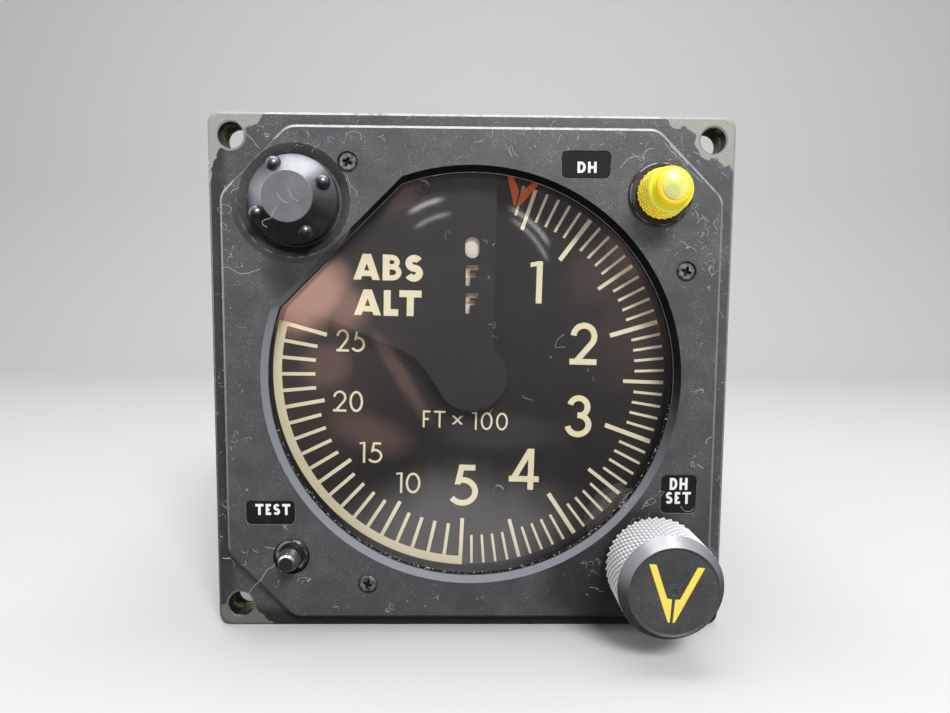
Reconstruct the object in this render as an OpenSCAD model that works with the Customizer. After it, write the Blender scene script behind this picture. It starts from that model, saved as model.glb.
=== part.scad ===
// Radio altimeter indicator for a square three-inch panel opening.
// The origin is the bezel's centre on its panel face. +Y runs back into the panel, -Y towards the pilot.

/* [Bezel] */
// Side of the square flange
bezel_side = 82.8; // [82:0.1:88]
// Thickness of the flange, from the panel face to its front
flange_t = 5.5; // [5:0.1:7]
// Corner radius of the flange
flange_corner_r = 1.8; // [0.8:0.1:3]
// Chamfer round the front edges of the flange and the raised face
edge_chamfer = 0.45; // [0.2:0.05:0.8]
// Side of the raised face
face_side = 78; // [77:0.1:80]
// Height of the raised face above the flange
face_h = 2.2; // [1.8:0.1:3]
// Leg of the diagonal cuts at three corners of the raised face
face_cut = 10.5; // [9:0.1:12]
// Radius where the cuts meet the sides of the raised face
face_corner_r = 3; // [1:0.1:5]

/* [Panel screws] */
// Distance between the panel screw holes
screw_pitch = 75.5; // [74.5:0.1:76.5]
// Diameter of the panel screw holes
screw_hole_d = 4; // [3.6:0.1:4.6]
// Width of the countersink round each hole
screw_sink = 0.3; // [0.1:0.05:0.6]

/* [Window] */
// Clear diameter of the window at its lip
window_d = 64.4; // [60:0.1:65]
// Width and depth of the bevel round the window
window_bevel = 1; // [0.6:0.1:1.3]
// Depth of the straight lip behind the bevel
window_lip = 0.3; // [0.2:0.1:0.6]
// Distance of the window's flat from its centre
window_flat = 29.2; // [28.6:0.1:29.4]
// How far the glass goes under the lip all round
glass_seat = 1.2; // [0.8:0.1:1.4]
// How far the glass goes under the lip at the flat
flat_seat = 0.5; // [0.3:0.1:0.6]
// Thickness of the glass
glass_t = 1.8; // [1.4:0.1:1.9]
// Thickness of the seal between glass and lip
seal_t = 0.2; // [0.1:0.05:0.3]
// Thickness of the ring that holds the glass
retainer_t = 0.5; // [0.4:0.05:0.7]
// Radial width of the ring and of the seal
retainer_w = 0.7; // [0.5:0.1:0.8]

/* [Lamps] */
// Distance of the dial-lamp cap from the centre, along the diagonal
cap_dist = 39; // [38.8:0.1:39.6]
// Diameter of the dish round the lamp cap
dish_d = 17.4; // [16.6:0.1:17.6]
// Depth of the dish
dish_depth = 1.6; // [1.2:0.1:1.8]
// Diameter of the lamp cap at its foot
cap_d = 13.6; // [12:0.1:14]
// Diameter of the lamp cap's flat top
cap_top_d = 7.7; // [6:0.1:8.5]
// Height of the lamp cap above the raised face
cap_h = 4.2; // [3.5:0.1:6]
// Diameter of the tube that holds the dial lamp
holder_d = 6; // [5:0.1:6.1]
// Distance of the warning lamp from the centre, along the diagonal
warn_dist = 40.9; // [40.7:0.1:41.4]
// Diameter of the warning lamp's socket ring
warn_ring_d = 9.8; // [9.4:0.1:10.4]
// Diameter of the warning lamp's lens
warn_lens_d = 7.9; // [7.4:0.1:8.6]
// Height of the lens above the raised face
warn_lens_h = 8.5; // [7:0.1:9.5]

/* [Test button] */
// Distance of the button from the centre, along the diagonal
test_dist = 40.6; // [40.3:0.1:41]
// Diameter of the button's plunger
plunger_d = 3.6; // [3:0.1:3.8]
// Diameter of the collar round the plunger
collar_d = 5.7; // [5.3:0.1:6]
// Height of the plunger above the collar
plunger_h = 3.2; // [2.6:0.1:4]
// Travel of the button
test_travel = 1.5; // [1:0.1:2]

/* [Setting knob] */
// Diameter over the knurl
knob_d = 15.9; // [15:0.1:16.4]
// Diameter of the knob's front face
knob_face_d = 13.4; // [12:0.1:14]
// Length of the knob
knob_len = 10.6; // [9:0.1:13]
// Length of the chamfer at the front of the knob
knob_chamfer = 1.9; // [1:0.1:2.5]
// Gap between the knob and the nut behind it
knob_gap = 0.5; // [0.3:0.1:1]
// Diameter of the knob's shaft
shaft_d = 3.2; // [2.8:0.1:3.4]

/* [Dial] */
// Diameter of the dial
dial_d = 67; // [66.4:0.1:67.2]
// Thickness of the dial
dial_t = 1; // [0.8:0.1:1.2]
// Depth of the dial's front behind the flange's front
dial_depth = 4.3; // [4.2:0.1:4.6]
// Gap between the thin plates that move in front of the dial
layer_gap = 0.25; // [0.2:0.01:0.26]
// Thickness of the pointer, the bug and the flag
leaf_t = 0.3; // [0.2:0.02:0.32]
// Thickness of the mask
mask_t = 0.5; // [0.4:0.05:0.6]
// Right edge of the mask, to the right of the centre
mask_edge = 3.9; // [3.2:0.1:4.4]
// Radius of the mask's end round the pointer's hub
mask_hub_r = 5.8; // [5.2:0.1:6.4]
// Reach of the pointer from the centre
pointer_reach = 29; // [26:0.5:30]
// Angle where the pointer parks behind the mask, clockwise from twelve o'clock
pointer_park = 318; // [312:1:326]
// Reach of the bug's tip from the centre
bug_tip_r = 28.7; // [27:0.1:30]
// Angle of the bug at rest, clockwise from twelve o'clock
bug_angle = 14.4; // [10:0.1:60]

/* [Movement] */
// Module of the setting gears
set_module = 0.7; // [0.69:0.005:0.71]
// Teeth of the ring that carries the bug
ring_teeth = 100; // [98:2:100]
// Teeth of the pinion on the setting shaft
set_teeth = 18; // [16:2:18]
// Module of the pointer gears
servo_module = 0.5; // [0.4:0.02:0.5]
// Teeth of the pointer gear
pointer_teeth = 64; // [56:4:64]
// Teeth of the motor pinion
motor_teeth = 16; // [16:1:18]
// Play between the flanks of meshing teeth
backlash = 0.1; // [0.06:0.01:0.14]
// Radial clearance of shafts in their bearings
run_fit = 0.05; // [0.02:0.01:0.08]
// Thickness of the ring and of its pinion
ring_t = 1.5; // [1.2:0.1:1.6]
// Thickness of the movement plates
plate_t = 2; // [1.6:0.1:2.5]
// Distance between the movement plates
plate_gap = 36; // [34:0.5:44]
// Diameter of the pointer's shaft
pointer_shaft_d = 1.6; // [1.2:0.1:2]
// Diameter of the servo motor
motor_d = 20; // [16:0.5:20]
// Length of the servo motor
motor_len = 26; // [20:0.5:26]

/* [Case] */
// Side of the square case
case_side = 78.6; // [78.4:0.1:79]
// Leg of the diagonal cuts along three edges of the case
case_cut = 10.5; // [10:0.1:11.5]
// Wall of the case
case_wall = 1.3; // [1:0.1:1.4]
// Length of the case behind the panel face
case_len = 128; // [120:1:150]
// Thickness of the rear cover
cover_t = 2; // [1.6:0.1:3]
// Thickness of the seal between bezel and case
case_seal_t = 0.5; // [0.3:0.1:0.8]
// Thickness of the circuit boards
board_t = 1.6; // [1.2:0.1:2]
// Distance between one board and the next
board_step = 20; // [18:0.5:24]
// Outer diameter of the rear connector's shell
conn_d = 24; // [20:0.5:28]
// Length of the connector's shell behind the cover
conn_len = 15; // [14:0.5:18]

/* [Hidden] */
$fn = 96;

bezel_black = [0.09, 0.09, 0.1];
dial_black = [0.05, 0.05, 0.055];
cream = [0.86, 0.82, 0.66];
steel = [0.62, 0.63, 0.65];
brass = [0.78, 0.62, 0.3];
alloy = [0.72, 0.73, 0.74];
board_green = [0.12, 0.3, 0.18];
eps = 0.01;

// Depths along Y, from the pilot's side to the back
flange_y = -flange_t;
face_y = flange_y - face_h;
lip_y = face_y + window_bevel + window_lip;
glass_y = lip_y + seal_t;
retainer_y = glass_y + glass_t;
cavity_y = retainer_y + retainer_t;
dial_y = flange_y + dial_depth;
bug_y = dial_y - layer_gap - leaf_t;
pointer_y = bug_y - layer_gap - leaf_t;
flag_y = pointer_y - layer_gap - leaf_t;
mask_y = flag_y - layer_gap - mask_t;
dial_back = dial_y + dial_t;
bushing_flange_t = 0.8;
ring_y = bushing_flange_t + layer_gap;
plate_y = ring_y + ring_t + layer_gap;
plate_back = plate_y + plate_t;
rear_y = plate_back + plate_gap;
rear_back = rear_y + plate_t;
cover_y = case_len - cover_t;
collar_h = 0.5;
collar_dish = 0.3;
nut_h = 1.6;
knob_back = face_y - nut_h - knob_gap;
knob_front = knob_back - knob_len;
gear_t = 1.5;
gear_y = plate_back + 4;

// Radii and places across the face
flat_angle = 135;
window_r = window_d / 2;
glass_r = window_r + glass_seat;
pocket_gap = 0.1;
ring_pitch_r = set_module * ring_teeth / 2;
knob_dist = set_module * (ring_teeth + set_teeth) / 2;
ring_root_r = ring_pitch_r - 1.25 * set_module;
cavity_r = max(glass_r + 2, ring_root_r + 1.2);
ring_bore_r = 30;
dial_r = dial_d / 2;
mask_r = dial_r - 0.3;
riser_gap = 0.2;
servo_dist = servo_module * (pointer_teeth + motor_teeth) / 2;
servo_angle = 200;
knob_at = polar(knob_dist, -45);
cap_at = polar(cap_dist, 135);
warn_at = polar(warn_dist, 45);
test_at = polar(test_dist, -135);
motor_at = polar(servo_dist, servo_angle);
flag_at = [-4, 28.6];
flag_shaft_r = 0.6;
flag_home = [0, 16.6];
flag_size = [4.4, 15];
screw_r = 0.9;
screw_head_r = 1.45;
face_screws_at = [polar(38.6, 120), polar(37.6, 27.2), polar(37.3, -116.4)];
boss_r = 1.45;
dial_screws_at = [[4.6, -19.8], [-4.6, 19.8]];
mask_screws_at = [[-8, 30.4], [-21.6, 22.4]];
pillar_r = 2.4;
pillar_dist = case_side / 2 - case_wall - 2 * pillar_r;
pillars_at = [for (a = [0:90:270]) polar(pillar_dist, a)];
panel_holes_at = [for (s = [[-1, 1], [1, 1], [-1, -1]]) s * screw_pitch / 2];
plate_clear = 0.8;
plate_side = case_side - 2 * (case_wall + plate_clear);
plate_cut = 18;
board_side = plate_side - 1.4;
label_depth = 0.4;
label_t = 0.3;
shaft_r = shaft_d / 2;
pointer_shaft_r = pointer_shaft_d / 2;
switch_side = 7;
conn_r = conn_d / 2;
conn_wall = 1.2;
conn_flange = 30;
conn_screw_pitch = 23.4;
pin_h = 4.5;
insert_depth = 9.5;
bug_half = 3.2;
bug_leg = 0.75;
bug_slit = 0.17;
bug_fork = 2.5;

function polar(r, a) = r * [cos(a), sin(a)];
function unit(v) = v / norm(v);
function turn(a) = a > 180 ? a - 360 : a < -180 ? a + 360 : a;

// Points of an arc that rounds corner p between its neighbours a and b
function corner_arc(a, p, b, r, n) =
    let (u = unit(a - p), v = unit(b - p), half = acos(u * v) / 2, c = p + unit(u + v) * r / sin(half),
        s = p + u * r / tan(half) - c, e = p + v * r / tan(half) - c, a1 = atan2(s[1], s[0]),
        sweep = turn(atan2(e[1], e[0]) - a1))
    [for (i = [0:n]) c + polar(r, a1 + sweep * i / n)];

function rounded(pts, r, n = 5) =
    let (k = len(pts))
    [for (i = [0:k - 1]) each corner_arc(pts[(i + k - 1) % k], pts[i], pts[(i + 1) % k], r, n)];

// A square with its corners cut off, except the lower right one, where the setting knob sits
function cut_square(side, cut) =
    let (h = side / 2, k = h - cut) [[h, -h], [h, k], [k, h], [-k, h], [-h, k], [-h, -k], [-k, -h]];

// Half the angle of a tooth at radius r: an involute outside the base circle, a radial flank inside it
function involute(c) = tan(c) - c * PI / 180;
function tooth_half(r, pitch_r, teeth) =
    let (base_r = pitch_r * cos(20), c = r > base_r ? acos(base_r / r) : 0)
    90 / teeth + (involute(20) - involute(c) - backlash / 4 / pitch_r) * 180 / PI;

function gear_points(m, teeth, at) =
    let (pitch_r = m * teeth / 2, radii = [for (k = [-1.25, -0.35, 0.3, 0.95]) pitch_r + k * m])
    [for (i = [0:teeth - 1]) let (mid = at + 360 * i / teeth)
        each concat([for (r = radii) polar(r, mid - tooth_half(r, pitch_r, teeth))],
            [for (k = [3:-1:0]) polar(radii[k], mid + tooth_half(radii[k], pitch_r, teeth))])];

// A cylinder along Y at the place p of the face, from y0 back to y1
module post(p, r, y0, y1, sides = $fn) {
    translate([p[0], y0, p[1]]) rotate([-90, 0, 0]) cylinder(r = r, h = y1 - y0, $fn = sides);
}

// A flat outline of the face, from y0 back to y1
module slab(y0, y1) {
    translate([0, y1, 0]) rotate([90, 0, 0]) linear_extrude(y1 - y0) children();
}

// A profile of [radius, y] points turned round the place p
module turned(p, profile) {
    translate([p[0], 0, p[1]]) rotate([-90, 0, 0]) rotate_extrude() polygon(profile);
}

// An outline with a chamfered front edge
module chamfered(outline_points, inner_points, y0, y1) {
    slab(y0 + edge_chamfer, y1) polygon(outline_points);
    hull() {
        slab(y0, y0 + edge_chamfer / 2) polygon(inner_points);
        slab(y0 + edge_chamfer, y0 + edge_chamfer * 1.5) polygon(outline_points);
    }
}

// A disc with a flat towards the lamp cap
module flatted(r, flat) {
    intersection() {
        circle(r);
        rotate(flat_angle) translate([flat - 2 * r, -r]) square(2 * r);
    }
}

module label_outline(size, gap = 0) {
    half = size / 2 + [gap, gap];
    corners = [[-1, -1], [1, -1], [1, 1], [-1, 1]];
    polygon(rounded([for (c = corners) [c[0] * half[0], c[1] * half[1]]], 0.7 + gap));
}

// Places and sizes of the three recessed label plates
label_dh_at = [17.4, 33.4];
label_dh_size = [7.4, 4];
label_test_at = [-32, -21.6];
label_test_size = [7.6, 3.7];
label_set_at = [33.4, -18.4];
label_set_size = [5.5, 6.1];
labels = [[label_dh_at, label_dh_size], [label_test_at, label_test_size], [label_set_at, label_set_size]];
label_gap = 0.1;

module bezel() {
    flange_half = bezel_side / 2;
    corners = [[1, -1], [1, 1], [-1, 1], [-1, -1]];
    color(bezel_black) difference() {
        union() {
            chamfered(rounded(flange_half * corners, flange_corner_r),
                rounded((flange_half - edge_chamfer) * corners, flange_corner_r), flange_y, 0);
            chamfered(rounded(cut_square(face_side, face_cut), face_corner_r),
                rounded(cut_square(face_side - 2 * edge_chamfer, face_cut - 0.6 * edge_chamfer),
                    face_corner_r), face_y, flange_y + eps);
        }
        for (p = panel_holes_at) {
            post(p, screw_hole_d / 2, flange_y - eps, eps);
            turned(p, [[0, flange_y - eps], [screw_hole_d / 2 + screw_sink, flange_y - eps],
                [screw_hole_d / 2, flange_y + screw_sink], [0, flange_y + screw_sink]]);
        }
        window_cut();
        slab(lip_y, cavity_y) flatted(glass_r + pocket_gap, window_flat + flat_seat + pocket_gap);
        post([0, 0], cavity_r, cavity_y - eps, eps);
        turned(cap_at, [[0, face_y - eps], [dish_d / 2, face_y - eps], [cap_d / 2 + 0.3, face_y + dish_depth],
            [0, face_y + dish_depth]]);
        post(cap_at, holder_d / 2, face_y, eps);
        post(warn_at, warn_body_r, face_y - eps, eps);
        post(test_at, collar_body_r, face_y - eps, eps);
        post(knob_at, bushing_r, face_y - eps, eps);
        for (p = face_screws_at) {
            post(p, screw_r + 0.1, face_y - eps, eps);
            post(p, screw_head_r + 0.15, face_y - eps, face_y + screw_head_h);
        }
        for (l = labels) translate([l[0][0], 0, l[0][1]])
            slab(face_y - eps, face_y + label_depth) label_outline(l[1], label_gap);
    }
}

screw_head_h = 0.8;
slot_len = 1.5;
slot_w = 0.44;
slot_depth = 0.5;
warn_body_r = 4.2;
collar_body_r = 2.5;
bushing_r = 3.2;

// The bevelled window with its flat, cut through to the glass
module window_cut() {
    ledge = 0.1;
    slab(face_y - eps, lip_y + eps) flatted(window_r, window_flat);
    hull() {
        slab(face_y - eps, face_y) flatted(window_r + window_bevel, window_flat + window_bevel * 0.7);
        slab(face_y + window_bevel - eps, face_y + window_bevel)
            flatted(window_r + ledge, window_flat + ledge);
    }
}

module window_glass() {
    color([0.75, 0.72, 0.7, 0.3]) slab(glass_y, glass_y + glass_t) flatted(glass_r, window_flat + flat_seat);
}

// A flat ring under the lip, with the window's flat
module window_ring(y0, t, w) {
    slab(y0, y0 + t) difference() {
        flatted(glass_r, window_flat + flat_seat);
        flatted(glass_r - w, window_flat + 0.1);
    }
}

module glass_seal() {
    color([0.07, 0.07, 0.07]) window_ring(lip_y, seal_t, retainer_w);
}

module glass_retainer() {
    color(dial_black) window_ring(retainer_y, retainer_t, retainer_w);
}

// A small pan screw: head towards the pilot, cross recess, shank to y1
module cross_screw(p, head_y, y1) {
    difference() {
        union() {
            turned(p, [[0, head_y], [screw_head_r * 0.8, head_y], [screw_head_r, head_y + screw_head_h * 0.4],
                [screw_head_r, head_y + screw_head_h], [0, head_y + screw_head_h]]);
            post(p, screw_r, head_y + screw_head_h - eps, y1);
        }
        for (a = [0, 90]) translate([p[0], head_y, p[1]]) rotate([0, a + 20, 0])
            cube([slot_len, 2 * slot_depth, slot_w], center = true);
        post(p, slot_w, head_y - eps, head_y + slot_depth);
    }
}

module face_screws() {
    color([0.2, 0.2, 0.21]) for (p = face_screws_at) cross_screw(p, face_y, plate_back);
}

module label_plate(at, size) {
    color([0.03, 0.03, 0.03]) translate([at[0], 0, at[1]])
        slab(face_y + label_depth - label_t, face_y + label_depth) label_outline(size);
}

module label_dh() {
    label_plate(label_dh_at, label_dh_size);
}

module label_test() {
    label_plate(label_test_at, label_test_size);
}

module label_dh_set() {
    label_plate(label_set_at, label_set_size);
}

nub_r = 1.2;
nub_share = 0.55;
cap_skirt = 0.8;
cap_edge = 0.1;
nub_angle = 25;
bulb_r = 2;

// Conical cap with four grip nubs, screwed on the lamp holder
module lamp_cap() {
    seat_y = face_y + dish_depth;
    top_y = face_y - cap_h;
    cone_y = face_y - cap_skirt;
    nub_y = top_y + (cone_y - top_y) * nub_share;
    nub_dist = cap_top_d / 2 + (cap_d - cap_top_d) / 2 * nub_share;
    color([0.05, 0.05, 0.055]) difference() {
        union() {
            turned(cap_at, [[0, top_y], [cap_top_d / 2 - cap_edge, top_y], [cap_top_d / 2, top_y + cap_edge],
                [cap_d / 2, cone_y], [cap_d / 2, seat_y], [0, seat_y]]);
            for (a = [0:90:270]) let (p = cap_at + polar(nub_dist, nub_angle + a))
                translate([p[0], nub_y, p[1]]) sphere(nub_r, $fn = 32);
        }
        post(cap_at, holder_d / 2, holder_front, seat_y + eps);
    }
}

holder_front = face_y - cap_h + 1.5;
holder_back = plate_back + 6;

module lamp_holder() {
    color(brass) difference() {
        post(cap_at, holder_d / 2, holder_front, holder_back);
        post(cap_at, bulb_r, holder_front - eps, holder_back - 2);
    }
}

// Midget lamp: glass bulb on a flanged base, seated at the bottom of its tube
module midget_lamp(p, seat_y, len, r) {
    color([0.95, 0.92, 0.8]) turned(p, [[0, seat_y - len], [r * 0.45, seat_y - len + r * 0.12],
        [r * 0.8, seat_y - len + r * 0.5], [r * 0.9, seat_y - len + r], [r * 0.9, seat_y - len * 0.4],
        [r - 0.04, seat_y - len * 0.4], [r - 0.04, seat_y], [0, seat_y]]);
}

module dial_lamp() {
    midget_lamp(cap_at, holder_back - 2, 11, bulb_r);
}

warn_ring_h = 0.8;
warn_bulb_r = 2;
warn_back = plate_back + 9;

// Yellow lens: a knurled skirt, a shoulder and a domed tip, hollow over the bulb
module warning_lens() {
    r = warn_lens_d / 2;
    y0 = face_y - warn_ring_h;
    top = face_y - warn_lens_h;
    h = y0 - top;
    neck_r = r * 0.69;
    dome_r = r * 0.49;
    bore_r = warn_bulb_r + 0.3;
    color([0.95, 0.85, 0.1, 0.7]) turned(warn_at, [[bore_r, y0], [r * 0.92, y0], [r, y0 - h * 0.1],
        [r, y0 - h * 0.28], [r * 0.96, y0 - h * 0.37], [r * 0.85, y0 - h * 0.44], [r * 0.73, y0 - h * 0.47],
        [neck_r, y0 - h * 0.5], [neck_r - 0.04, y0 - h * 0.8], [neck_r - 0.1, y0 - h * 0.87],
        [neck_r - 0.4, y0 - h * 0.925], [dome_r, y0 - h * 0.94], [dome_r * 0.8, y0 - h * 0.975],
        [dome_r * 0.4, top + 0.03], [0, top], [0, top + 1], [dome_r * 0.4, top + 1.1],
        [dome_r * 0.85, y0 - h * 0.75], [warn_bulb_r - 0.1, y0 - h * 0.5], [bore_r, y0 - h * 0.27]]);
}

module warning_socket() {
    y0 = face_y - warn_ring_h;
    color([0.16, 0.16, 0.17]) turned(warn_at, [[warn_bulb_r, y0], [warn_ring_d / 2 - 0.3, y0],
        [warn_ring_d / 2, y0 + 0.3], [warn_ring_d / 2, face_y], [warn_body_r, face_y],
        [warn_body_r, warn_back], [0, warn_back], [0, warn_back - 1.5], [warn_bulb_r, warn_back - 1.5]]);
}

module warning_bulb() {
    midget_lamp(warn_at, warn_back - 1.5, warn_back - 1.5 - (face_y - warn_lens_h * 0.45), warn_bulb_r);
}

plunger_r = plunger_d / 2;
plunger_front = face_y - collar_h - plunger_h;
switch_y = 0;
spring_wire = 0.25;
shoulder_t = 0.5;
shoulder_r = plunger_r + 0.25;
pin_tip_r = 0.5;
pin_tip_y = switch_y + 0.8;
plunger_head_y = switch_y - test_travel - shoulder_t - 0.4;

module test_button() {
    r = plunger_r;
    shoulder_y = plunger_head_y + shoulder_t;
    color([0.04, 0.04, 0.045])
        turned(test_at, [[0, plunger_front], [r * 0.58, plunger_front], [r * 0.64, plunger_front + 0.07],
            [r * 0.77, plunger_front + 0.45], [r * 0.9, plunger_front + 1.1], [r, plunger_front + 2.1],
            [r, plunger_head_y],
            [shoulder_r, plunger_head_y], [shoulder_r, shoulder_y], [pin_tip_r, shoulder_y],
            [pin_tip_r, pin_tip_y], [0, pin_tip_y]]);
}

// Threaded collar in the bezel, bored for the plunger and wider behind for its shoulder
module test_collar() {
    r = collar_d / 2;
    top = face_y - collar_h;
    bore_r = plunger_r + run_fit;
    wide_r = shoulder_r + run_fit;
    color([0.2, 0.2, 0.21]) turned(test_at, [[bore_r, top + collar_dish], [r - 0.65, top + collar_dish],
        [r - 0.5, top], [r - 0.15, top], [r, top + 0.15], [r, face_y],
        [collar_body_r, face_y], [collar_body_r, switch_y], [wide_r, switch_y], [wide_r, plunger_head_y],
        [bore_r, plunger_head_y]]);
}

// Return spring between the plunger's shoulder and the switch, as a stack of turns
module test_spring() {
    turns = 2;
    y0 = plunger_head_y + shoulder_t + spring_wire / 2;
    y1 = switch_y - spring_wire / 2;
    color(steel) for (i = [0:turns]) translate([test_at[0], y0 + (y1 - y0) * i / turns, test_at[1]])
        rotate([-90, 0, 0]) rotate_extrude($fn = 48) translate([1.2, 0]) circle(spring_wire / 2, $fn = 16);
}

module test_switch() {
    color([0.16, 0.18, 0.24]) difference() {
        translate([test_at[0], switch_y + 4.5, test_at[1]]) rotate([0, 45, 0])
            cube([switch_side, 9, switch_side], center = true);
        post(test_at, pin_tip_r + run_fit, switch_y - eps, pin_tip_y + test_travel + 0.3);
    }
}

// Setting knob: knurled body, chamfered front with a shallow turned face, bored for its shaft
module dh_knob() {
    r = knob_d / 2;
    face_r = knob_face_d / 2;
    dish = 0.25;
    color([0.2, 0.2, 0.21]) difference() {
        turned(knob_at, [[0, knob_front + dish], [face_r - 0.35, knob_front + dish],
            [face_r - 0.1, knob_front], [face_r, knob_front], [r - 0.25, knob_front + knob_chamfer],
            [r, knob_front + knob_chamfer + 0.3], [r, knob_back - 0.4], [r - 0.4, knob_back],
            [0, knob_back]]);
        post(knob_at, shaft_r, knob_front + knob_wall, knob_back + eps);
        translate([knob_at[0], knob_mid, knob_at[1]]) rotate([0, 135, 0]) cylinder(r = setscrew_r, h = r + 1);
    }
}

knob_wall = 2.2;
knob_mid = knob_back - 3;
setscrew_r = 1;

module knob_setscrew() {
    r = knob_d / 2;
    color(steel) translate([knob_at[0], knob_mid, knob_at[1]]) rotate([0, 135, 0]) difference() {
        translate([0, 0, shaft_r + 0.1]) cylinder(r = setscrew_r, h = r - shaft_r - 1);
        translate([0, 0, r - 2.4]) cylinder(r = 0.5, h = 2, $fn = 6);
    }
}

pot_r = 6;
pot_len = 14;
shaft_back = plate_back + pot_len - 3;

module knob_shaft() {
    color(steel) difference() {
        post(knob_at, shaft_r, knob_front + knob_wall, shaft_back);
        translate([knob_at[0], knob_mid, knob_at[1]]) rotate([0, 135, 0]) translate([0, 0, shaft_r])
            cube([2 * setscrew_r + 0.4, 2 * setscrew_r + 0.4, 0.2], center = true);
    }
}

module knob_pinion() {
    color(brass) difference() {
        slab(ring_y, ring_y + ring_t) translate(knob_at)
            polygon(gear_points(set_module, set_teeth, 135 + 180 / set_teeth));
        post(knob_at, shaft_r, ring_y - eps, ring_y + ring_t + eps);
    }
}

module knob_bushing() {
    bore_r = shaft_r + run_fit;
    top = face_y - nut_h;
    flange_r = bushing_r + 1.6;
    color(brass) turned(knob_at, [[bore_r, top], [bushing_r - 0.3, top], [bushing_r, top + 0.3],
        [bushing_r, 0], [flange_r, 0], [flange_r, bushing_flange_t], [bore_r, bushing_flange_t]]);
}

module knob_nut() {
    color([0.25, 0.25, 0.26]) difference() {
        post(knob_at, 5.2, face_y - nut_h, face_y, 6);
        post(knob_at, bushing_r, face_y - nut_h - eps, face_y + eps);
    }
}

// Multi-turn potentiometer on the setting shaft, with three solder tags
module dh_potentiometer() {
    color([0.15, 0.22, 0.35]) difference() {
        union() {
            turned(knob_at, [[0, plate_back], [pot_r, plate_back], [pot_r, plate_back + pot_len - 0.6],
                [pot_r - 0.6, plate_back + pot_len], [0, plate_back + pot_len]]);
            for (i = [-1:1]) translate([knob_at[0] + 2.5 * i, plate_back + pot_len + 1, knob_at[1] + 3])
                cube([1, 3, 0.4], center = true);
        }
        post(knob_at, shaft_r + run_fit, plate_back - eps, shaft_back + 0.3);
    }
}

module dial() {
    color(dial_black) difference() {
        post([0, 0], dial_r, dial_y, dial_back);
        post([0, 0], pointer_shaft_r + 0.5, dial_y - eps, dial_back + eps);
        post(flag_at, flag_shaft_r + 0.4, dial_y - eps, dial_back + eps);
        for (p = concat(dial_screws_at, mask_screws_at)) post(p, screw_r, dial_y - eps, dial_back + eps);
    }
}

// A flat-headed screw of the dial or the mask, a little proud of its seat
module flat_screw(p, seat_y, y1) {
    difference() {
        union() {
            post(p, screw_r, seat_y - eps, y1);
            turned(p, [[0, seat_y - flat_head_h], [flat_head_r - 0.15, seat_y - flat_head_h],
                [flat_head_r, seat_y], [0, seat_y]]);
        }
        for (a = [0, 90]) translate([p[0], seat_y - flat_head_h, p[1]]) rotate([0, a + 45, 0])
            cube([1.7, 0.3, 0.3], center = true);
    }
}

flat_head_h = 0.18;
flat_head_r = 1.25;

module dial_screws() {
    color([0.12, 0.12, 0.13]) for (p = dial_screws_at) flat_screw(p, dial_y, plate_y);
}

// Outline of the mask: a sector from the upper left rim to the pointer's hub
module mask_outline() {
    intersection() {
        circle(mask_r);
        union() {
            circle(mask_hub_r);
            polygon([[mask_edge, mask_r], [mask_edge - 0.3, mask_hub_r * 0.8], [0, 0], [-4.2, -3.6],
                [-9.2, 3.2], [-mask_r, 13.5], [-mask_r, mask_r]]);
        }
    }
}

// Stencil letters of the flag window: an oval and two letters of square strokes
letter_w = 2.1;
letter_h = 3.3;
letter_step = 4.5;
letter_stroke = 0.72;
letter_top = 20.9;

module stencil_f() {
    translate([-letter_w / 2, -letter_h / 2]) {
        square([letter_stroke, letter_h]);
        translate([0, letter_h - letter_stroke]) square([letter_w, letter_stroke]);
        translate([0, letter_h * 0.42]) square([letter_w * 0.8, letter_stroke]);
    }
}

module stencil_o() {
    translate([0, 0.55]) circle(letter_w * 0.55);
    translate([0, -0.55]) circle(letter_w * 0.55);
    square([letter_w * 1.1, 1.1], center = true);
}

module dial_mask() {
    color(dial_black) difference() {
        slab(mask_y, mask_y + mask_t) difference() {
            mask_outline();
            translate([0, letter_top]) stencil_o();
            for (i = [1, 2]) translate([0, letter_top - letter_step * i]) stencil_f();
        }
        for (p = mask_screws_at) post(p, screw_r, mask_y - eps, mask_y + mask_t + eps);
    }
}

module mask_spacers() {
    color(alloy) for (p = mask_screws_at) difference() {
        post(p, 1.7, mask_y + mask_t, dial_y);
        post(p, screw_r, mask_y, dial_y + eps);
    }
}

module mask_screws() {
    color([0.12, 0.12, 0.13]) for (p = mask_screws_at) flat_screw(p, mask_y, dial_back);
}

// Pointer: a tapered leaf with a counterweight on a round hub, parked behind the mask
module pointer() {
    color(cream) difference() {
        union() {
            slab(pointer_y, pointer_y + leaf_t) rotate(-pointer_park) union() {
                circle(3);
                polygon([[-1.1, 0], [-0.9, pointer_reach - 4], [0, pointer_reach], [0.9, pointer_reach - 4],
                    [1.1, 0]]);
                polygon([[-1.4, 0], [-1.8, -4.6], [1.8, -4.6], [1.4, 0]]);
            }
            post([0, 0], 1.8, pointer_y - eps, bug_y);
        }
        post([0, 0], pointer_shaft_r, pointer_y - 1, bug_y + 1);
    }
}

pointer_end = rear_back + 2;

module pointer_shaft() {
    color(steel) post([0, 0], pointer_shaft_r, pointer_y - leaf_t / 2, pointer_end);
}

module pointer_gear() {
    bore = pointer_shaft_r;
    color(brass) difference() {
        union() {
            slab(gear_y, gear_y + gear_t) polygon(gear_points(servo_module, pointer_teeth, servo_angle));
            post([0, 0], 3.4, gear_y + gear_t - eps, gear_y + gear_t + 2.5);
        }
        post([0, 0], bore, gear_y - eps, gear_y + gear_t + 3);
        for (a = [0:60:300]) post(polar(9.3, servo_angle + 30 + a), 3, gear_y - eps, gear_y + gear_t + eps);
    }
}

bearing_r = 3;

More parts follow.
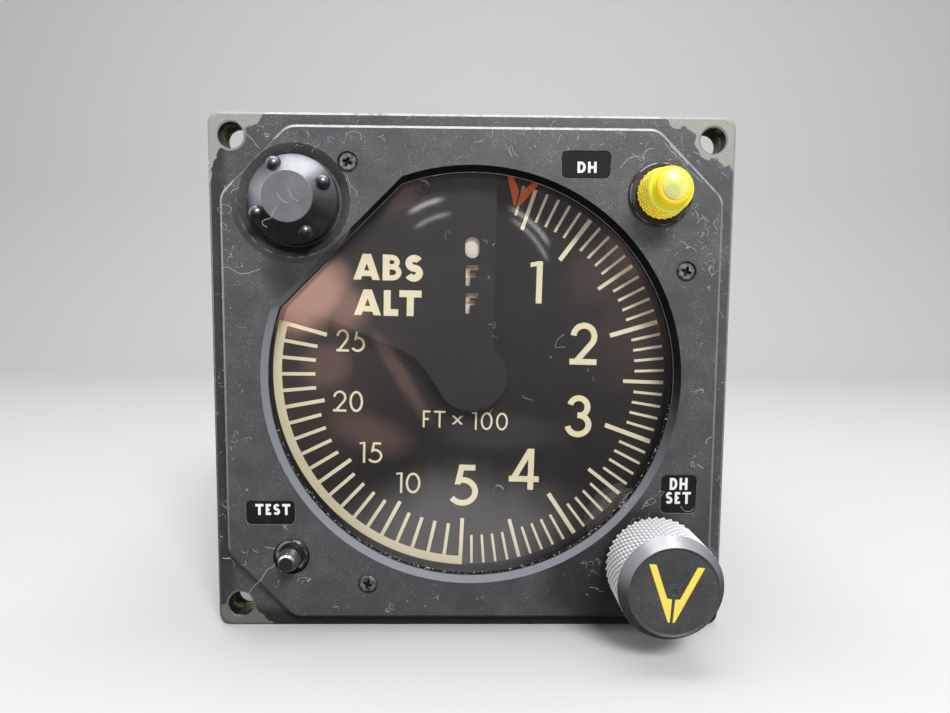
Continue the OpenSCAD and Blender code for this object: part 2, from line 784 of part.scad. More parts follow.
// Flanged bearing of the pointer's shaft
module shaft_bearing(y0, y1, flange_at) {
    color(brass) difference() {
        union() {
            post([0, 0], bearing_r, y0, y1);
            post([0, 0], bearing_r + 1, flange_at, flange_at + 0.8);
        }
        post([0, 0], pointer_shaft_r + run_fit, y0 - eps, y1 + 1);
    }
}

module front_bearing() {
    shaft_bearing(dial_back, plate_back + 0.8, plate_back);
}

module rear_bearing() {
    shaft_bearing(rear_y - 0.8, rear_back, rear_y - 0.8);
}

motor_front = rear_y - motor_len;
motor_shaft_r = 1;

// Servo motor on the rear plate, with a front boss round its shaft and two terminals
module servo_motor() {
    r = motor_d / 2;
    color([0.5, 0.51, 0.53]) difference() {
        union() {
            turned(motor_at, [[0, motor_front], [3, motor_front], [3, motor_front + 1],
                [r - 0.8, motor_front + 1], [r, motor_front + 1.8], [r, rear_y - 4], [r - 0.5, rear_y - 4],
                [r - 0.5, rear_y], [0, rear_y]]);
            for (s = [-1, 1]) translate([motor_at[0] + 4 * s, rear_back + 1.4, motor_at[1] - 3])
                cube([1.4, 2 * plate_t + 2.8, 0.5], center = true);
        }
        post(motor_at, motor_shaft_r + run_fit, motor_front - eps, motor_front + 10);
    }
}

// Pinion turned in one piece with the motor's shaft
module motor_pinion() {
    color(steel) {
        slab(gear_y - 0.2, gear_y + gear_t + 0.2) translate(motor_at)
            polygon(gear_points(servo_module, motor_teeth, servo_angle + 180 + 180 / motor_teeth));
        post(motor_at, motor_shaft_r, gear_y - 0.6, motor_front + 9.5);
    }
}

feedback_r = 5.5;
feedback_len = 14;

module feedback_potentiometer() {
    y0 = rear_y - 0.8 - feedback_len;
    color([0.15, 0.22, 0.35]) difference() {
        union() {
            turned([0, 0], [[0, y0], [feedback_r - 0.5, y0], [feedback_r, y0 + 0.5], [feedback_r, rear_y],
                [0, rear_y]]);
            for (i = [-1:1]) translate([2.5 * i, y0 + 4, feedback_r + 1]) cube([1, 0.4, 3], center = true);
        }
        post([0, 0], pointer_shaft_r + run_fit, y0 - eps, rear_y + eps);
        post([0, 0], bearing_r + 1, rear_y - 0.8, rear_y + eps);
    }
}

// Warning flag: a vane behind the stencil on an arm from its shaft
module off_flag() {
    half = flag_size / 2;
    color([0.85, 0.84, 0.8]) slab(flag_y, flag_y + leaf_t) difference() {
        union() {
            translate(flag_at) circle(1.3);
            polygon([flag_at + [0.9, 0.6], flag_at + [-1, -0.4], flag_home + [-half[0], half[1] - 2],
                flag_home + [-half[0], -half[1]], flag_home + [half[0], -half[1]],
                flag_home + [half[0], half[1] - 0.5]]);
        }
        translate(flag_at) circle(flag_shaft_r);
    }
}

actuator_r = 3.5;
actuator_back = plate_back + 12;

module flag_shaft() {
    color(steel) post(flag_at, flag_shaft_r, flag_y, actuator_back - 3);
}

module flag_actuator() {
    color([0.3, 0.3, 0.32]) difference() {
        turned(flag_at, [[0, plate_back], [actuator_r, plate_back], [actuator_r, actuator_back - 0.6],
            [actuator_r - 0.6, actuator_back], [0, actuator_back]]);
        post(flag_at, flag_shaft_r + run_fit, plate_back - eps, actuator_back - 2.6);
    }
}

// Bug: two splayed blades whose tips meet over the scale, on a foot that reaches round the dial's edge
module dh_bug() {
    foot_r = dial_r + riser_gap;
    color([0.88, 0.32, 0.1]) {
        slab(bug_y, bug_y + leaf_t) intersection() {
            rotate(-bug_angle) union() {
                for (s = [-1, 1]) polygon([[s * bug_slit, bug_tip_r], [s * (bug_slit + 0.25), bug_tip_r],
                    [s * bug_half, ring_root_r], [s * (bug_half - bug_leg), ring_root_r],
                    [s * (bug_slit + 0.1), bug_tip_r + bug_fork],
                    [s * bug_slit, bug_tip_r + bug_fork - 0.1]]);
                translate([-bug_half, foot_r]) square([2 * bug_half, ring_root_r - foot_r]);
            }
            circle(ring_root_r);
        }
        bug_foot(foot_r);
    }
}

module bug_foot(foot_r) {
    slab(bug_y, ring_y) intersection() {
        difference() {
            circle(ring_root_r);
            circle(foot_r);
        }
        rotate(-bug_angle) translate([-bug_half + 0.3, 0]) square([2 * bug_half - 0.6, 2 * dial_r]);
    }
}

// Ring gear behind the dial, running on the front plate's round seat
module bug_ring() {
    color(alloy) difference() {
        slab(ring_y, ring_y + ring_t) polygon(gear_points(set_module, ring_teeth, -45));
        post([0, 0], ring_bore_r, ring_y - eps, ring_y + ring_t + eps);
    }
}

module plate_outline() {
    polygon(rounded(cut_square(plate_side, plate_cut), 2));
}

// Front movement plate: the ring's round seat, three bosses, notches for the lamps and the switch
module front_plate() {
    color(alloy) difference() {
        union() {
            slab(plate_y, plate_back) plate_outline();
            post([0, 0], ring_bore_r - run_fit, dial_back, plate_y + eps);
            for (p = face_screws_at) post(p, boss_r, 0, plate_y + eps);
        }
        post(cap_at, holder_d / 2 + 0.5, plate_y - eps, plate_back + eps);
        post(warn_at, warn_body_r + 0.5, plate_y - eps, plate_back + eps);
        post(test_at, switch_side * 0.71 + 0.5, plate_y - eps, plate_back + eps);
        post(knob_at, shaft_r + run_fit, plate_y - eps, plate_back + eps);
        post([0, 0], bearing_r, dial_back - eps, plate_back + eps);
        post(flag_at, flag_shaft_r + 0.3, dial_back - eps, plate_back + eps);
        for (p = dial_screws_at) post(p, screw_r, dial_back - eps, plate_y);
        for (p = face_screws_at) post(p, screw_r, -eps, plate_back + eps);
    }
}

module rear_plate() {
    color(alloy) difference() {
        slab(rear_y, rear_back) polygon(rounded(cut_square(plate_side, plate_cut + 4), 2));
        post([0, 0], bearing_r, rear_y - eps, rear_back + eps);
        for (s = [-1, 1]) translate([motor_at[0] + 4 * s, rear_y + plate_t / 2, motor_at[1] - 3])
            cube([2.6, plate_t + 1, 1.6], center = true);
    }
}

module plate_pillars() {
    color(alloy) for (p = pillars_at) post(p, pillar_r, plate_back, rear_y);
}

board_y = [for (i = [0:2]) rear_back + 14 + board_step * i];

module board(i) {
    color(board_green) difference() {
        slab(board_y[i], board_y[i] + board_t) polygon(rounded(cut_square(board_side, plate_cut), 2));
        for (p = pillars_at) post(p, 1.2, board_y[i] - eps, board_y[i] + board_t + eps);
    }
}

// A board's chips: rows of packages on its back
module chips(i, columns, rows, size) {
    pitch = [14, 16];
    y = board_y[i] + board_t + size[1] / 2;
    color([0.06, 0.06, 0.06]) for (c = [0:columns - 1], r = [0:rows - 1])
        translate([(c - (columns - 1) / 2) * pitch[0], y, (r - (rows - 1) / 2) * pitch[1] - 2])
            cube(size, center = true);
}

module servo_board() {
    board(0);
    chips(0, 3, 3, [7, 3, 12]);
}

module lamp_board() {
    board(1);
    chips(1, 4, 2, [7, 3, 10]);
}

module supply_board() {
    board(2);
}

module board_spacers() {
    starts = [rear_back, for (y = board_y) y + board_t];
    ends = concat(board_y, [cover_y]);
    color(alloy) for (p = pillars_at, i = [0:3]) post(p, pillar_r, starts[i], ends[i]);
}

module transformer() {
    y0 = board_y[2] - 15;
    color([0.35, 0.3, 0.25]) {
        translate([-22, y0, -8]) cube([26, 15, 9]);
        translate([-22, y0 + 3, 1]) cube([26, 9, 8]);
        translate([-22, y0, 9]) cube([26, 15, 9]);
        translate([-17, y0 + 1.5, 1]) cube([16, 12, 8]);
    }
}

module capacitors() {
    color([0.2, 0.24, 0.5]) for (z = [-14, 0, 14])
        post([20, z], 5, board_y[2] - 14, board_y[2]);
}

// Case sleeve with the bezel's diagonal cuts
module case() {
    inner = case_side - 2 * case_wall;
    inner_cut = case_cut - case_wall * (2 - sqrt(2));
    color([0.08, 0.08, 0.085]) slab(case_seal_t, cover_y) difference() {
        polygon(rounded(cut_square(case_side, case_cut), 2.4));
        polygon(rounded(cut_square(inner, inner_cut), 1.2));
    }
}

module case_seal() {
    inner = case_side - 2 * case_wall;
    inner_cut = case_cut - case_wall * (2 - sqrt(2));
    color([0.05, 0.05, 0.05]) slab(0, case_seal_t) difference() {
        polygon(rounded(cut_square(case_side, case_cut), 2.4));
        polygon(rounded(cut_square(inner, inner_cut), 1.2));
    }
}

conn_at = [0, 0];
conn_screws_at = [for (s = [[-1, -1], [1, -1], [1, 1], [-1, 1]]) conn_at + s * conn_screw_pitch / 2];

module rear_cover() {
    color([0.08, 0.08, 0.085]) difference() {
        slab(cover_y, case_len) polygon(rounded(cut_square(case_side, case_cut), 2.4));
        post(conn_at, conn_r - conn_wall - 1, cover_y - eps, case_len + eps);
        for (p = pillars_at) post(p, screw_r + 0.4, cover_y - eps, case_len + eps);
        for (p = conn_screws_at) post(p, screw_r, cover_y - eps, case_len + eps);
    }
}

// Pan screws of the rear cover and of the connector's flange
module cover_screw(p, seat_y, len) {
    difference() {
        union() {
            turned(p, [[0, seat_y], [2.2, seat_y], [2.2, seat_y + 0.7], [1.4, seat_y + 1.4],
                [0, seat_y + 1.4]]);
            post(p, screw_r, seat_y - len, seat_y + eps);
        }
        for (a = [0, 90]) translate([p[0], seat_y + 1.4, p[1]]) rotate([0, a + 30, 0])
            cube([2, 1, 0.45], center = true);
    }
}

module cover_screws() {
    color([0.3, 0.3, 0.31]) {
        for (p = pillars_at) cover_screw(p, case_len, cover_t);
        for (p = conn_screws_at) cover_screw(p, case_len + conn_flange_t, conn_flange_t + cover_t);
    }
}

conn_flange_t = 2;

// Round connector: square flange, shell with three bayonet studs, insert with pin holes
module connector_shell() {
    insert_y = case_len + conn_len - insert_depth;
    shell_end = case_len + conn_len;
    color([0.2, 0.22, 0.18]) difference() {
        union() {
            slab(case_len, case_len + conn_flange_t) translate(conn_at)
                polygon(rounded([for (s = [[1, -1], [1, 1], [-1, 1], [-1, -1]]) s * conn_flange / 2], 3));
            post(conn_at, conn_r, case_len, shell_end);
            for (a = [90, 210, 330]) translate([conn_at[0], shell_end - 3, conn_at[1]]) rotate([0, a, 0])
                cylinder(r = 1.1, h = conn_r + 1);
        }
        post(conn_at, conn_r - conn_wall, insert_y, shell_end + eps);
        for (p = conn_screws_at) post(p, screw_r, case_len - eps, case_len + conn_flange_t + eps);
    }
}

pin_r = 0.5;

module connector_pins() {
    y0 = case_len + conn_len - insert_depth;
    color([0.85, 0.7, 0.3]) {
        post(conn_at, pin_r, y0, y0 + pin_h);
        for (ring = [1, 2], i = [0:6 * ring - 1])
            post(conn_at + polar(3.6 * ring, 60 / ring * i), pin_r, y0, y0 + pin_h);
    }
}

bezel();
window_glass();
glass_seal();
glass_retainer();
face_screws();
label_dh();
label_test();
label_dh_set();
lamp_cap();
lamp_holder();
dial_lamp();
warning_lens();
warning_socket();
warning_bulb();
test_button();
test_collar();
test_spring();
test_switch();
dh_knob();
knob_setscrew();
knob_shaft();
knob_pinion();
knob_bushing();
knob_nut();
dh_potentiometer();
dial();
dial_screws();
dial_mask();
mask_spacers();
mask_screws();
pointer();
pointer_shaft();
pointer_gear();
front_bearing();
rear_bearing();
servo_motor();
motor_pinion();
feedback_potentiometer();
off_flag();
flag_shaft();
flag_actuator();
dh_bug();
bug_ring();
front_plate();
rear_plate();
plate_pillars();
servo_board();
lamp_board();
supply_board();
board_spacers();
transformer();
capacitors();
case();
case_seal();
rear_cover();
cover_screws();
connector_shell();
connector_pins();
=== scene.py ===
import math
import random

import bpy
from mathutils import Matrix, Vector


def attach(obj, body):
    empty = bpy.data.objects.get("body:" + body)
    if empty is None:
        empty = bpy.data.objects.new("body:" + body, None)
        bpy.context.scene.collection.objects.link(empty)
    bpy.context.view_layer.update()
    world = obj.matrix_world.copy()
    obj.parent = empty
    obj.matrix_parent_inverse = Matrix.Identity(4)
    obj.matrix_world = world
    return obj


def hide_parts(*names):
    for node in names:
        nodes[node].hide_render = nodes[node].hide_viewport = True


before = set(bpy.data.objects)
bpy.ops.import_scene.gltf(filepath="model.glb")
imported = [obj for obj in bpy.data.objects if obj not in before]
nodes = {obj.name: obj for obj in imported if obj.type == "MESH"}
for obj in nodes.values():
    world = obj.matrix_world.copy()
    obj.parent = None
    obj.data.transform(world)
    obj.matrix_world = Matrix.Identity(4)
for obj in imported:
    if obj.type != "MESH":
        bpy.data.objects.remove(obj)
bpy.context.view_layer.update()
mm = 0.001
print("frame loaded,", len(nodes), "nodes")


# Finishes

class Value:  # a shader value: sums and products of values become Math nodes
    def __init__(self, finish, socket):
        self.finish, self.socket = finish, socket

    def math(self, operation, other=None, swapped=False):
        terms = [self] if other is None else [other, self] if swapped else [self, other]
        return self.finish.add("Math", {"operation": operation}, dict(enumerate(terms)))

    def __add__(self, other): return self.math("ADD", other)
    def __radd__(self, other): return self.math("ADD", other, True)
    def __sub__(self, other): return self.math("SUBTRACT", other)
    def __rsub__(self, other): return self.math("SUBTRACT", other, True)
    def __mul__(self, other): return self.math("MULTIPLY", other)
    def __truediv__(self, other): return self.math("DIVIDE", other)
    def __pow__(self, other): return self.math("POWER", other)
    def __abs__(self): return self.math("ABSOLUTE")


class Finish:  # one material; its patterns are in millimetres of the frame
    def __init__(self, name, color=(0.5, 0.5, 0.5), metallic=0.0, roughness=0.5, **fixed):
        self.material = bpy.data.materials.new(name)
        self.material.use_nodes = True
        self.tree = self.material.node_tree
        self.shader = self.tree.nodes["Principled BSDF"]
        self.put("Base Color", (*color, 1))
        self.put("Metallic", metallic)
        self.put("Roughness", roughness)
        for socket, value in fixed.items():
            self.put(socket.replace("_", " "), value)

    def put(self, socket, value):
        self.feed(self.shader.inputs[socket], value)

    def feed(self, socket, value):
        if isinstance(value, Value):
            self.tree.links.new(value.socket, socket)
        else:
            socket.default_value = value

    def add(self, kind, settings=None, sockets=None, output=0):
        node = self.tree.nodes.new("ShaderNode" + kind)
        for key, value in (settings or {}).items():
            setattr(node, key, value)
        for key, value in (sockets or {}).items():
            self.feed(node.inputs[key], value)
        return Value(self, node.outputs[output])

    def place(self):
        at = self.add("TexCoord", output="Object")
        return self.add("VectorMath", {"operation": "SCALE"}, {0: at, "Scale": 1 / mm})

    def spot(self):  # the place and its three axes
        at = self.place()
        return at, *(self.axis(at, letter) for letter in "XYZ")

    def axis(self, vector, letter):
        return self.add("SeparateXYZ", sockets={"Vector": vector}, output=letter)

    def noise(self, at, scale, detail=3.0, roughness=0.55):
        return self.add("TexNoise", sockets={"Vector": at, "Scale": scale, "Detail": detail, "Roughness": roughness})

    def step(self, value, low, high):  # 0 below low, 1 above high, smooth between
        return self.add("MapRange", {"interpolation_type": "SMOOTHSTEP"},
                        {"Value": value, "From Min": low, "From Max": high})

    def mix(self, factor, a, b):  # a colour is three screen values, or a value
        a, b = (rgba(color) if isinstance(color, tuple) and len(color) == 3 else color for color in (a, b))
        return self.add("Mix", {"data_type": "RGBA"}, {0: factor, 6: a, 7: b}, output=2)

    def shades(self, factor, color, low, high):  # from a darker to a lighter tone of one colour
        return self.mix(factor, *(rgba([min(255, c * share) for c in color]) for share in (low, high)))

    def done(self, height, distance):  # adds the fine relief and hands over the material
        self.put("Normal", self.add("Bump", sockets={"Height": height, "Distance": distance * mm}))
        return self.material
def tone(value):  # a colour from its 0 to 255 screen values
    return tuple(((v / 255 + 0.055) / 1.055) ** 2.4 if v > 10 else v / 255 / 12.92 for v in value)


def rgba(value):
    return (*tone(value), 1)


def radial(x, z, axis):  # distance from a line along Y
    dx, dz = x - axis[0], z - axis[1]
    return (dx * dx + dz * dz) ** 0.5


def most(values):  # the largest of several shader values
    top = values[0]
    for value in values[1:]:
        top = top.math("MAXIMUM", value)
    return top


def dusty(finish, at, color, amount, dust=(150, 146, 138)):  # fine specks and a faint film over a colour
    specks = finish.step(finish.noise(at, 3.1, 2.0, 0.6), 0.70 - amount * 0.06, 0.76)
    film = finish.step(finish.noise(at, 0.22, 4.0), 0.45, 0.8) * (amount * 0.12)
    return finish.mix((specks * (0.55 * amount) + film).math("MINIMUM", 1.0), color, dust)


def plain(name, color, metallic=0.0, roughness=0.45, grain=1.4, spread=0.25, relief=0.02, dust=0.0, **fixed):
    finish = Finish(name, tone(color), metallic, roughness, **fixed)
    at = finish.place()
    cloud, fine = finish.noise(at, 0.35, 4.0), finish.noise(at, grain)
    tint = finish.shades(cloud * 0.6 + fine * 0.4, color, 1 - spread, 1 + spread * 0.6)
    finish.put("Base Color", dusty(finish, at, tint, dust) if dust else tint)
    finish.put("Roughness", roughness + (fine - 0.5) * 0.25 + (cloud - 0.5) * 0.2)
    return finish.done(fine, relief)


# Bezel paint: satin charcoal, rubbed bright along its edges and bare round the panel holes
bezelLook = {
    "paint": (75, 76, 79), "worn": (152, 152, 154), "bevelLitWorn": (168, 172, 180), "bevelShaded": (6, 6, 6),
    "bare": (158, 160, 152), "bareShaded": (96, 99, 90), "wall": (9, 9, 8), "lip": (9, 9, 9), "dirt": (104, 98, 90),
    "chromate": (150, 134, 58), "roughness": 0.4,
    "barePatches": [(-40.5, 39.6, 3.9), (-37, 41.6, 3.1), (-34.8, 41.6, 2.1), (-41.6, 35.6, 1.9), (-41.8, 33.2, 1.2),
        (39.2, 39.7, 4.0), (35.6, 41.3, 2.8), (32.5, 42, 2.3), (30.4, 42.2, 1.4), (41.5, 36, 2.3), (41.7, 34.2, 1.3),
        (37.75, 37.75, 3.0), (40.2, 35.9, 2.0), (-41.7, 31.4, 0.9), (-38.2, -41.2, 4.0), (-35.2, -41.6, 2.6)],
    "scuff": (47.15, -2.4, 2.3), "scuffLine": (46.75, -1.0, 4.4), "shade": (16, 16, 16), "speck": (184, 182, 178),
    "fade": (-44, 34, 0.24), "leftShade": (-39.6, -38, 0.5), "lowShade": (-39.6, -37.6, 0.75),
    "grime": [(23.5, -31, 9, 15, 0.62), (-25.5, 17.5, 3.5, 8.5, 0.6)],
    "holes": [(-37.75, 37.75), (37.75, 37.75), (-37.75, -37.75)], "holeRadius": 2.03, "rimRadius": 2.36,
    "dishAt": (-27.577, 27.577), "dishRadius": 9.6, "dishEdge": 8.7, "windowRadius": 34.2, "flangeFront": -5.5,
    "faceFront": -7.7, "labels": [(-32, -21.6, 3.8, 1.85), (17.4, 33.4, 3.7, 2.0), (33.4, -18.4, 2.75, 3.05)],
    "labelCorner": 0.75,
}


def bezelPaint():
    look = bezelLook
    finish = Finish("bezelPaint")
    at, x, y, z = finish.spot()
    normal = finish.add("TexCoord", output="Normal")
    slope, tilt, aside = abs(finish.axis(normal, "Y")), finish.axis(normal, "Z"), finish.axis(normal, "X")
    cloud, fine = finish.noise(at, 0.18, 5.0), finish.noise(at, 2.4)
    blotch, ragged = finish.noise(at, 0.8, 4.0, 0.62), finish.noise(at, 0.45, 3.0, 0.5)
    fromCentre, fromDish = radial(x, z, (0, 0)), radial(x, z, look["dishAt"])
    window, shade = look["windowRadius"], look["shade"]
    inWindow = 1 - finish.step(fromCentre, window, window + 0.1)
    inDish = 1 - finish.step(fromDish, look["dishRadius"], look["dishRadius"] + 0.1)
    outside, onBevel = (1 - inWindow) * (1 - inDish), inWindow * (1 - inDish)
    slanted = finish.step(slope, 0.25, 0.4) * (1 - finish.step(slope, 0.85, 0.95))

    # Paint with dust and specks; painted shade darker towards the bottom, painted shadows of the knob and the cap on
    # the face, painted shadow in the dish under the cap
    paint = dusty(finish, at, finish.shades(cloud, look["paint"], 0.82, 1.16), 0.9)
    specks = finish.step(finish.noise(at, 5.6, 1.0, 0.5), 0.66, 0.72) * finish.step(cloud, 0.36, 0.56)
    paint = finish.mix(specks * 0.75, paint, look["speck"])
    dirt = inDish * finish.step(slope, 0.2, 0.4) * finish.step(fine * 0.6 + blotch * 0.4, 0.44, 0.62)
    paint = finish.mix(dirt * 0.45, paint, look["dirt"])
    # painted shade: darker towards the bottom
    low, high, depth = look["fade"]
    paint = finish.mix((1 - finish.step(z, low, high)) * depth, paint, shade)
    # painted shadows cast by the knob and the lamp cap
    for px, pz, near, far, depth in look["grime"]:
        paint = finish.mix((1 - finish.step(radial(x, z, (px, pz)), near, far)) * depth, paint, shade)
    # painted shadow of the cap on the lower part of the dish
    capShadow = inDish * (1 - finish.step(z - look["dishAt"][1] + (x - look["dishAt"][0]) * 0.5, -8.5, -1))
    paint = finish.mix(capShadow * 0.5, paint, shade)

    # Window: bevel pale below and to the left, dark above and to the right: painted light and shade from above, the
    # pale part also worn; its inner part a little darker; lip painted dark as shade
    pale = finish.shades(finish.step(fromCentre, window - 0.9, window - 0.35), look["bevelLitWorn"], 0.72, 1)
    bevel = finish.mix(finish.step(z + (blotch - 0.5) * 6 + x * 0.45, -12, 16), pale, look["bevelShaded"])
    color = finish.mix(slanted * onBevel, paint, bevel)
    # the lip painted dark as shade
    color = finish.mix((1 - finish.step(slope, 0.2, 0.35)) * onBevel, color, look["lip"])

    # Rubbed bright: edges, more where they face up or aside (wear and painted highlight), dish rim, a scuff with its
    # thin border in the top right corner, rims of the label pockets
    # edges facing up or aside take more of the worn colour: painted highlight as well as wear
    lit = finish.step(tilt + abs(aside) * 0.35, -0.1, 0.6) * 0.9 + 0.05
    atDish = 1 - finish.step(abs(fromDish - look["dishEdge"]), 0.06, 0.16)
    rubs = [slanted * outside * lit * finish.step(blotch + cloud * 0.5, 0.46, 0.74),
            atDish * finish.step(blotch, 0.42, 0.7) * 0.5]
    onFace = 1 - finish.step(y, look["faceFront"] + 0.6, look["faceFront"] + 0.9)
    across, along = (x + z) * math.sqrt(0.5), (x - z) * math.sqrt(0.5)
    for key in ("scuff", "scuffLine"):
        begin, middle, half = look[key]
        gap = across + (ragged - 0.5) * 1.2 - begin
        mark = finish.step(gap, -0.06, 0.06) if key == "scuff" else 1 - finish.step(abs(gap), 0.035, 0.07)
        rubs.append(mark * (1 - finish.step(abs(along - middle), half - 0.5, half)) * onFace)
    for px, pz, wide, high in look["labels"]:
        dx, dz = ((abs(v - c) - h + look["labelCorner"]).math("MAXIMUM", 0)
                  for v, c, h in ((x, px, wide), (z, pz, high)))
        offset = abs((dx * dx + dz * dz) ** 0.5 - look["labelCorner"])
        inside = (1 - finish.step(abs(x - px), wide, wide + 0.3)) * (1 - finish.step(abs(z - pz), high, high + 0.3))
        patchy = finish.step(blotch - (z - pz) * 0.07, 0.38, 0.54)
        rubs.append((1 - finish.step(offset, 0.09, 0.18)) * inside * patchy)
    rubbedAndLit = most(rubs)
    color = finish.mix(rubbedAndLit, color, look["worn"])

    # Flange: painted shade on the left and below, bare round the holes with the bare metal painted darker low down as
    # shade, hole walls painted dark as shade with gilt in patches inside them
    onFlange = finish.step(y, look["flangeFront"] - 0.3, look["flangeFront"] - 0.1)
    # painted shade on the flange's left side and lower edge
    flangeShade = most([(1 - finish.step(v, *look[key][:2])) * look[key][2] for v, key in ((x, "leftShade"), (z, "lowShade"))])
    color = finish.mix(flangeShade * onFlange, color, shade)
    patches = [1 - finish.step(radial(x, z, (px, pz)) + (ragged - 0.5) * 2.6, reach - 0.1, reach + 0.1)
               for px, pz, reach in look["barePatches"]]
    gaps = [radial(x, z, hole) for hole in look["holes"]]
    inHole, rim = (most([1 - finish.step(gap, look[key], look[key] + 0.05) for gap in gaps])
                   for key in ("holeRadius", "rimRadius"))
    bare = most([*patches, rim * 0.9]) * onFlange
    # bare metal low down painted darker as shade
    metal = finish.mix(finish.step(z, -38, -28), look["bareShaded"], finish.shades(fine, look["bare"], 0.84, 1))
    color = finish.mix(bare, color, metal)
    gilt = finish.step(finish.noise(at, 0.5, 2.0), 0.56, 0.64)
    # hole walls painted dark as shade, gilt in patches
    color = finish.mix(inHole, color, finish.mix(gilt, look["wall"], look["chromate"]))
    finish.put("Base Color", color)
    finish.put("Metallic", inHole * gilt * 0.8 + rubbedAndLit * 0.2)
    finish.put("Roughness", look["roughness"] + (fine - 0.5) * 0.3 + bare * 0.15)
    return finish.done(fine * 0.7 + blotch * 0.3, 0.03)


# Dial and mask paint: matt charcoal with a few specks under the glass
def dialPaint(name, color):
    finish = Finish(name, roughness=0.7, Specular_IOR_Level=0.25)
    at = finish.place()
    cloud, fine = finish.noise(at, 0.12), finish.noise(at, 7.0, 2.0)
    tint = finish.shades(cloud * 0.7 + fine * 0.3, color, 0.9, 1.08)
    finish.put("Base Color", dusty(finish, at, tint, 0.25, (128, 124, 118)))
    finish.put("Roughness", 0.66 + (fine - 0.5) * 0.1)
    return finish.done(fine, 0.001)


# Print on dial and mask: aged cream ink, a little uneven
def printInk(name, color):
    finish = Finish(name, roughness=0.7)
    at = finish.place()
    cloud, fine = finish.noise(at, 0.3), finish.noise(at, 5.0)
    finish.put("Base Color", finish.shades(cloud * 0.5 + fine * 0.5, color, 0.93, 1.04))
    return finish.done(fine, 0.006)


# Flag: off-white at the top, with brown patches below where it shows through the letters
flagLook = {"top": (238, 228, 212), "clean": (238, 232, 224), "brown": (212, 172, 136), "fromTo": (17.5, 20.5)}


def flagPaint():
    look = flagLook
    finish = Finish("flagPaint", roughness=0.65)
    at = finish.place()
    brown = finish.step(finish.noise(at, 0.9), 0.42, 0.62)
    low = finish.mix(brown, look["clean"], look["brown"])
    height = finish.step(finish.axis(at, "Z"), *look["fromTo"])
    finish.put("Base Color", finish.mix(height, low, look["top"]))
    return finish.done(finish.noise(at, 3.0), 0.01)


# Window glass: a thin mirror over what lies behind it, tinted by its coating
glassLook = {"tint": (1.0, 0.92, 0.9), "face": 0.1, "rim": 0.6}


def coatedGlass():
    finish = Finish("coatedGlass", glassLook["tint"], 1.0, 0.03)
    facing = finish.add("LayerWeight", sockets={"Blend": 0.5}, output="Facing")
    finish.put("Alpha", glassLook["face"] + facing ** 4 * (glassLook["rim"] - glassLook["face"]))
    finish.material.surface_render_method = "BLENDED"
    return finish.material


# Knurled aluminium of the setting knob: pale worn points over dark grooves
knobLook = {
    "tip": (244, 243, 244), "groove": (180, 179, 182), "band": (158, 159, 163), "face": [(50, 50, 51), (72, 72, 73)],
    "bandFrom": (-18.4, -18.35), "radius": 7.95, "depth": 0.45,
}


def knobMetal(axis):
    look = knobLook
    finish = Finish("knobMetal", roughness=0.42, Coat_Roughness=0.3)
    at, x, y, z = finish.spot()
    tip = finish.step(radial(x, z, axis), look["radius"] - look["depth"], look["radius"] - 0.1)
    fine = finish.noise(at, 3.0)
    turned = finish.noise(finish.add("VectorMath", {"operation": "MULTIPLY"}, {0: at, 1: (0.3, 9.0, 0.3)}), 1.0, 2.0)
    rough = finish.mix(tip * (0.75 + fine * 0.4), look["groove"], look["tip"])
    onBand = 1 - finish.step(y, *look["bandFrom"])
    finish.put("Base Color", finish.mix(onBand, rough, finish.shades(turned, look["band"], 0.9, 1.1)))
    finish.put("Metallic", 0.2 + onBand * 0.72)
    finish.put("Roughness", 0.46 + (fine - 0.5) * 0.25 - onBand * 0.06)
    finish.put("Coat Weight", onBand * 0.5)
    return finish.done(fine * 0.5 + turned * 0.5, 0.012)


# Button: worn bright on its sides, black on its face
buttonLook = {"side": [(184, 186, 190), (228, 230, 233)], "face": (34, 34, 35), "front": -11.4}


def buttonMetal():
    look = buttonLook
    finish = Finish("buttonMetal")
    at = finish.place()
    fine = finish.noise(at, 2.2)
    face = 1 - finish.step(finish.axis(at, "Y"), look["front"] + 0.04, look["front"] + 0.1)
    side = finish.mix(fine, *look["side"])
    finish.put("Base Color", finish.mix(face, side, look["face"]))
    finish.put("Metallic", 1 - face * 0.9)
    finish.put("Roughness", 0.16 + fine * 0.12 + face * 0.3)
    return finish.done(fine, 0.01)


# Lamp cap: worn metal, its flat top paler and duller than the cone
capLook = {"cone": (115, 117, 121), "top": (132, 133, 137), "topAt": (-11.84, -11.74)}


def capMetal():
    look = capLook
    finish = Finish("capMetal")
    at = finish.place()
    cloud, fine = finish.noise(at, 0.35, 4.0), finish.noise(at, 6.0)
    top = 1 - finish.step(finish.axis(at, "Y"), *look["topAt"])
    tints = [finish.shades(cloud * 0.5 + fine * 0.5, look[key], 0.7, 1.2) for key in ("cone", "top")]
    finish.put("Base Color", dusty(finish, at, finish.mix(top, *tints), 0.7))
    finish.put("Metallic", 0.97 - top * 0.35)
    finish.put("Roughness", 0.3 + fine * 0.12 + top * 0.1)
    return finish.done(fine, 0.004)


